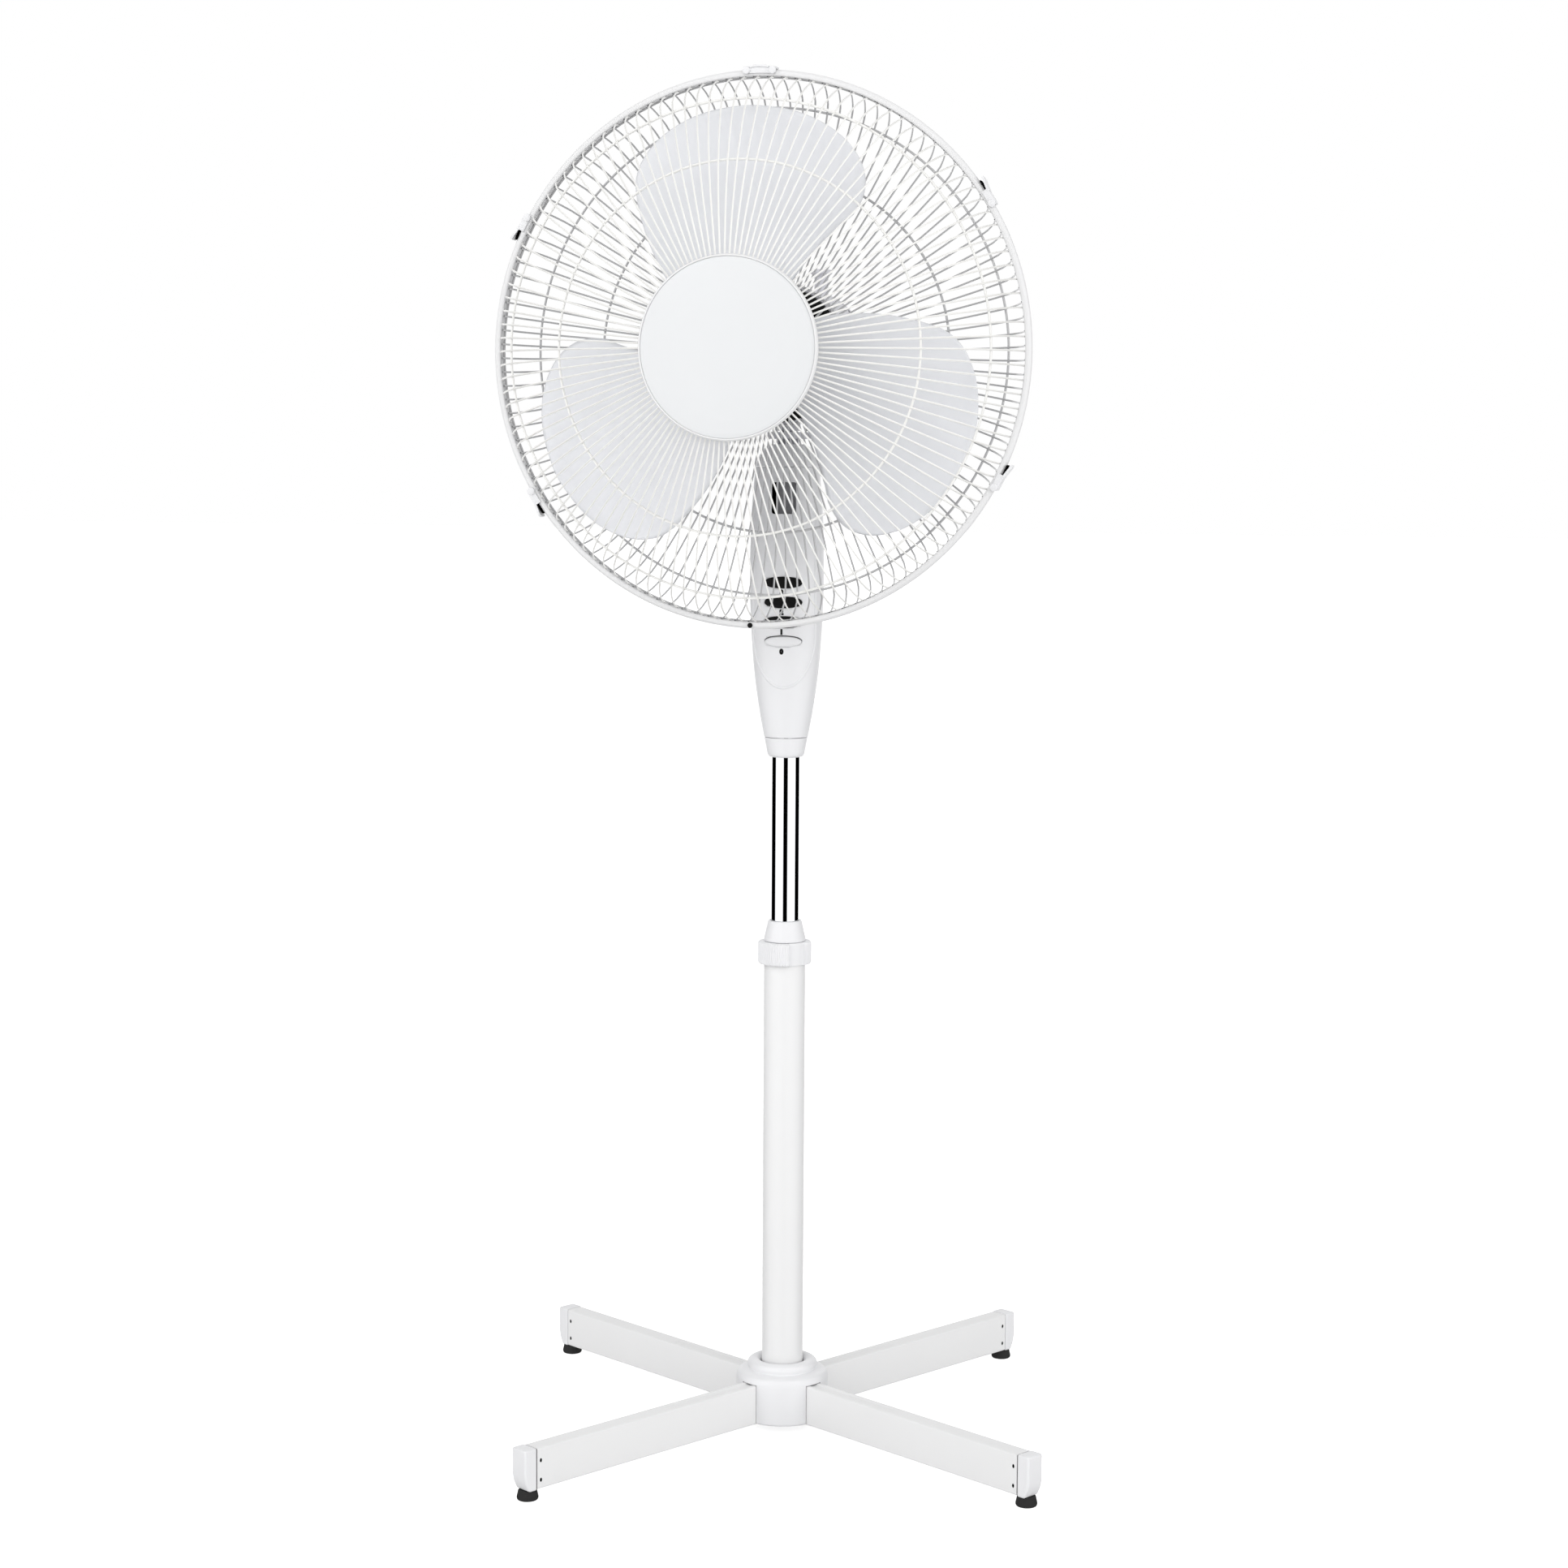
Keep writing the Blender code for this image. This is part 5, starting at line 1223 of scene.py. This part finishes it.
@dataclass
class MotorHousing:
    """Motor cover with its vents and a sheet of painted shade behind them, the dark motor behind the guard
    with a black ring of painted shade in its gap, the swing knob and the swing gear.
    """

    head: HeadFrame
    body: str = "head"
    columns: int = 144
    wall: float = 0.0020
    stations: tuple[tuple[float, float, float, float], ...] = (
        (0.0330, 0.0556, 0.0556, -0.0556), (0.0310, 0.0568, 0.0568, -0.0568),
        (0.0280, 0.0570, 0.0570, -0.0570), (-0.0100, 0.0570, 0.0570, -0.0570),
        (-0.0450, 0.0562, 0.0570, -0.0564), (-0.0700, 0.0520, 0.0568, -0.0545),
        (-0.0950, 0.0432, 0.0562, -0.0505), (-0.1200, 0.0306, 0.0525, -0.0430),
        (-0.1350, 0.0200, 0.0440, -0.0330), (-0.1430, 0.0100, 0.0310, -0.0190),
        (-0.1450, 0.0002, 0.0062, 0.0058))
    knob_back: float = 0.1180
    vent_from: float = -0.0380
    vent_to: float = -0.0860

    def rings(self, inset: float, forward: Array) -> Array:
        """Return rings of the cover: ellipses whose width, top and bottom follow smooth curves."""
        table = np.array(self.stations)[::-1]
        sizes = smooth_values(table[:, 0], table[:, 1:], forward)
        half_width = np.maximum(sizes[:, 0] - inset, 0.0001)
        middle = (sizes[:, 1] + sizes[:, 2]) / 2
        half_height = np.maximum((sizes[:, 1] - sizes[:, 2]) / 2 - inset, 0.0001)
        across, up = superellipse(half_width[:, None], half_height[:, None], 2.0, circle(self.columns)[None])
        return np.stack((across, up + middle[:, None], np.broadcast_to(forward[:, None], across.shape)),
                        axis=-1)

    def cover(self) -> Shape:
        """Return the cover's skin, its vents and the opening under it left out of the faces."""
        forward = np.concatenate(((0.0330, 0.0320, 0.0310, 0.0295), np.linspace(0.0270, -0.1300, 64),
                                  np.linspace(-0.1315, -0.1450, 14)))
        points = self.rings(0.0, forward)
        faces = grid_faces(len(forward), self.columns, wrap_columns=True)
        row, column = faces[:, 0] // self.columns, faces[:, 0] % self.columns
        middle = (forward[row] + forward[np.minimum(row + 1, len(forward) - 1)]) / 2
        degrees = (column + 0.5) * 360.0 / self.columns
        belly = (np.abs((degrees - 270.0 + 180.0) % 360.0 - 180.0) < 25.0) & (middle > -0.085)
        zone = (middle < self.vent_from) & (middle > self.vent_to)
        side = np.minimum(np.abs(degrees - 180.0), np.abs((degrees + 180.0) % 360.0 - 180.0)) < 57.0
        vent = zone & side & (column % 4 < 2)
        return Shape(points.reshape(-1, 3), faces[~(belly | vent)].tolist())

    def vent_shade(self) -> Shape:
        """Return a black sheet of painted shade behind the vents: the cover's own rings, drawn in."""
        forward = np.linspace(0.0200, -0.1200, 40)
        points = self.rings(0.0052, forward)
        faces = grid_faces(len(forward), self.columns, wrap_columns=True)
        column = faces[:, 0] % self.columns
        degrees = (column + 0.5) * 360.0 / self.columns
        belly = np.abs((degrees - 270.0 + 180.0) % 360.0 - 180.0) < 30.0
        return Shape(points.reshape(-1, 3), faces[~belly].tolist())

    def gap_shade_ring(self) -> Shape:
        """Return a black ring of painted shade in the gap between the motor and its cover, seen through the
        rear wires.
        """
        profile = np.array(((0.0460, 0.0330), (0.0548, 0.0330), (0.0548, 0.0362), (0.0520, 0.0395),
                            (0.0505, 0.0400), (0.0460, 0.0375)))
        return lathe(softened(profile, 0.0006, 3, True), 120)

    def knob(self) -> Shape:
        """Return the pull knob: a stem, a waist and a domed disc with a rolled edge."""
        profile = np.array(((0.0, 0.9140), (0.0030, 0.9140), (0.0030, 0.9500), (0.0060, 0.9500),
                            (0.0060, 0.9790), (0.0066, 0.9806), (0.0092, 0.9812), (0.0095, 0.9828),
                            (0.0090, 0.9846), (0.0060, 0.9852), (0.0, 0.9854)))
        return lathe(softened(profile, 0.0006, 4), 64).moved((0.0, self.knob_back, 0.0))

    def knob_collar(self) -> Shape:
        """Return the raised collar that the knob's stem comes out of."""
        profile = np.array(((0.0064, 0.9560), (0.0094, 0.9560), (0.0090, 0.9636), (0.0064, 0.9640)))
        return lathe(softened(profile, 0.0008, 3, True), 64).moved((0.0, self.knob_back, 0.0))

    def build(self) -> None:
        """Make and dress the motor and its cover."""
        cover = add_piece("housing", self.head.place(self.cover()), GREY, self.body,
                          ("motor_cover",))
        thicken(cover, self.wall)
        # Painted shade: a black sheet behind the vents stands for the dark inside of the cover.
        add_piece("housing_vent_shade", self.head.place(self.vent_shade()), DARK, self.body)
        # Painted shade: a black ring stands for the shadowed gap between the motor and its cover.
        add_piece("motor_gap_shade", self.head.place(self.gap_shade_ring()), BLACK, self.body)
        add_piece("knob_collar", self.knob_collar(), GREY, self.body)
        add_piece("pull_knob", self.knob(), GREY, "knob", ("swing_knob",))
        dress(BLACK, "motor_front_plate", "gear_case")
        dress(ZINC, "stator", "bearing_front", "bearing_rear", "crank")
        dress(GREY, "swing_arm")


# Studio -----------------------------------------------------------------------------------------------------


@dataclass
class Studio:
    """Camera, floor, soft lights and the surroundings that glossy pieces mirror."""

    distance: float = 2.51501
    height: float = 0.82607
    azimuth: float = 0.24082
    pan: float = 0.00056
    pitch: float = 0.10865
    roll: float = 0.0060
    lens: float = 69.216
    sensor: float = 36.0
    floor_glow: float = 0.75
    round_level: float = 0.78
    front_gain: float = 0.80
    top_fade: float = 0.46
    wall_level: float = 1.25
    flag_stops: tuple[tuple[float, float], ...] = ((0.0, 1.0), (0.070, 1.0), (0.090, 0.0), (0.500, 0.0),
                                                   (0.530, 1.0), (0.972, 1.0), (0.982, 0.0), (1.0, 0.0))
    lamps: tuple[tuple[str, tuple[float, float, float], float, float], ...] = (
        ("front_light", (-0.3, -2.8, 1.9), 1.8, 9.0),
        ("side_light", (2.4, -1.0, 1.1), 1.4, 16.0),
        ("fill_light", (-2.0, -1.8, 0.7), 1.4, 9.0),
        ("upper_light", (-1.6, -1.3, 2.3), 1.0, 8.0),
    )
    lamp_aim: tuple[float, float, float] = (0.0, 0.0, 0.6)

    def camera(self) -> None:
        """Set the camera: level right, up and forward axes, pitched and then rolled."""
        heading = self.azimuth + self.pan
        right = Vector((math.cos(heading), math.sin(heading), 0.0))
        level = Vector((-math.sin(heading), math.cos(heading), 0.0))
        forward = level * math.cos(self.pitch) - Vector((0.0, 0.0, 1.0)) * math.sin(self.pitch)
        up = right.cross(forward)
        rolled_right = right * math.cos(self.roll) + up * math.sin(self.roll)
        rolled_up = up * math.cos(self.roll) - right * math.sin(self.roll)
        matrix = Matrix((rolled_right, rolled_up, -forward)).transposed().to_4x4()
        matrix.translation = (self.distance * math.sin(self.azimuth), -self.distance * math.cos(self.azimuth),
                              self.height)
        data = bpy.data.cameras.new("camera")
        data.lens = self.lens
        data.sensor_width = self.sensor
        data.clip_end = 60.0
        item = bpy.data.objects.new("camera", data)
        item.matrix_world = matrix
        bpy.context.scene.collection.objects.link(item)
        bpy.context.scene.camera = item

    def floor(self) -> None:
        """Lay a plain pale floor that glossy pieces don't mirror."""
        material = bpy.data.materials.new("pale_floor")
        material.use_nodes = True
        shader = material.node_tree.nodes["Principled BSDF"]
        shader.inputs["Base Color"].default_value = (0.8, 0.8, 0.8, 1.0)
        shader.inputs["Roughness"].default_value = 1.0
        shader.inputs["Specular IOR Level"].default_value = 0.0
        shader.inputs["Emission Color"].default_value = (1.0, 1.0, 1.0, 1.0)
        rays = material.node_tree.nodes.new("ShaderNodeLightPath")
        glow = material.node_tree.nodes.new("ShaderNodeMath")
        glow.operation = "MULTIPLY"
        glow.inputs[1].default_value = self.floor_glow
        material.node_tree.links.new(rays.outputs["Is Camera Ray"], glow.inputs[0])
        material.node_tree.links.new(glow.outputs[0], shader.inputs["Emission Strength"])
        outline = np.array(((-30.0, -30.0, 0.0), (30.0, -30.0, 0.0), (30.0, 30.0, 0.0), (-30.0, 30.0, 0.0)))
        item = new_object("floor", Shape(outline, [[0, 1, 2, 3]]), 40.0, False)
        item.data.materials.append(material)
        item.visible_glossy = False

    def world(self) -> None:
        """Surround the fan with a soft studio.

        The camera sees plain white. Soft light comes mostly from the camera's side and fades towards the
        zenith. Glossy rays meet two white walls with dark flags ahead of and behind the camera line.
        """
        world = bpy.data.worlds.new("studio")
        world.use_nodes = True
        nodes, links = world.node_tree.nodes, world.node_tree.links
        nodes.clear()
        place = nodes.new("ShaderNodeTexCoord")
        towards = (math.sin(self.azimuth), -math.cos(self.azimuth), 0.0)

        def maths(operation: str, first: Value, second: Value, third: Value = 0.0) -> bpy.types.NodeSocket:
            """Add a math node whose inputs are sockets or numbers, and return its output."""
            node = nodes.new("ShaderNodeMath")
            node.operation = operation
            for socket, value in zip(node.inputs, (first, second, third)):
                if isinstance(value, float):
                    socket.default_value = value
                else:
                    links.new(value, socket)
            return node.outputs[0]

        facing = nodes.new("ShaderNodeVectorMath")
        facing.operation = "DOT_PRODUCT"
        facing.inputs[1].default_value = towards
        links.new(place.outputs["Generated"], facing.inputs[0])
        split = nodes.new("ShaderNodeSeparateXYZ")
        links.new(place.outputs["Generated"], split.inputs[0])
        frontal = maths("MULTIPLY_ADD", maths("MAXIMUM", facing.outputs["Value"], 0.0), self.front_gain,
                        self.round_level)
        fade = maths("MULTIPLY_ADD", maths("MAXIMUM", split.outputs["Z"], 0.0), -self.top_fade, 1.0)
        soft = maths("MULTIPLY", frontal, fade)

        flat = nodes.new("ShaderNodeVectorMath")
        flat.operation = "MULTIPLY"
        flat.inputs[1].default_value = (1.0, 1.0, 0.0)
        unit = nodes.new("ShaderNodeVectorMath")
        unit.operation = "NORMALIZE"
        level = nodes.new("ShaderNodeVectorMath")
        level.operation = "DOT_PRODUCT"
        level.inputs[1].default_value = towards
        links.new(place.outputs["Generated"], flat.inputs[0])
        links.new(flat.outputs["Vector"], unit.inputs[0])
        links.new(unit.outputs["Vector"], level.inputs[0])
        flags = nodes.new("ShaderNodeValToRGB")
        ramp = flags.color_ramp
        for _ in range(len(self.flag_stops) - 2):
            ramp.elements.new(0.5)
        for element, (position, value) in zip(ramp.elements, self.flag_stops):
            element.position = position
            element.color = (value, value, value, 1.0)
        links.new(maths("MULTIPLY_ADD", level.outputs["Value"], 0.5, 0.5), flags.inputs["Fac"])
        walls = maths("MULTIPLY", flags.outputs["Color"], self.wall_level)

        rays = nodes.new("ShaderNodeLightPath")
        glossy = nodes.new("ShaderNodeMix")
        glossy.inputs["Factor"].default_value = 0.0
        links.new(rays.outputs["Is Glossy Ray"], glossy.inputs["Factor"])
        links.new(soft, glossy.inputs["A"])
        links.new(walls, glossy.inputs["B"])
        seen = nodes.new("ShaderNodeMix")
        seen.inputs["B"].default_value = 1.0
        links.new(rays.outputs["Is Camera Ray"], seen.inputs["Factor"])
        links.new(glossy.outputs["Result"], seen.inputs["A"])
        sky = nodes.new("ShaderNodeBackground")
        end = nodes.new("ShaderNodeOutputWorld")
        links.new(seen.outputs["Result"], sky.inputs["Strength"])
        sky.inputs["Color"].default_value = (1.0, 1.0, 1.0, 1.0)
        links.new(sky.outputs["Background"], end.inputs["Surface"])
        bpy.context.scene.world = world

    def lamp(self, name: str, place: tuple[float, float, float], size: float, power: float) -> None:
        """Hang one soft square light that points at the fan's middle."""
        data = bpy.data.lights.new(name, "AREA")
        data.size = size
        data.energy = power
        item = bpy.data.objects.new(name, data)
        item.location = place
        aim = Vector(self.lamp_aim) - Vector(place)
        item.rotation_mode = "QUATERNION"
        item.rotation_quaternion = aim.to_track_quat("-Z", "Y")
        item.visible_glossy = False
        bpy.context.scene.collection.objects.link(item)

    def build(self) -> None:
        """Set up the whole studio."""
        self.camera()
        self.floor()
        self.world()
        for name, place, size, power in self.lamps:
            self.lamp(name, place, size, power)
        bpy.context.scene.view_settings.view_transform = "Standard"


def main() -> None:
    """Build the studio and every sub-assembly."""
    logging.basicConfig(level=logging.INFO, format="%(name)s: %(message)s")
    Studio().build()
    head = HeadFrame()
    for assembly in (CrossBase(), Pole(), Column(), WireGuards(head), Rotor(head), MotorHousing(head)):
        assembly.build()
        LOG.info("%s is done", type(assembly).__name__)
    bpy.context.view_layer.update()


if __name__ == "__main__":
    main()
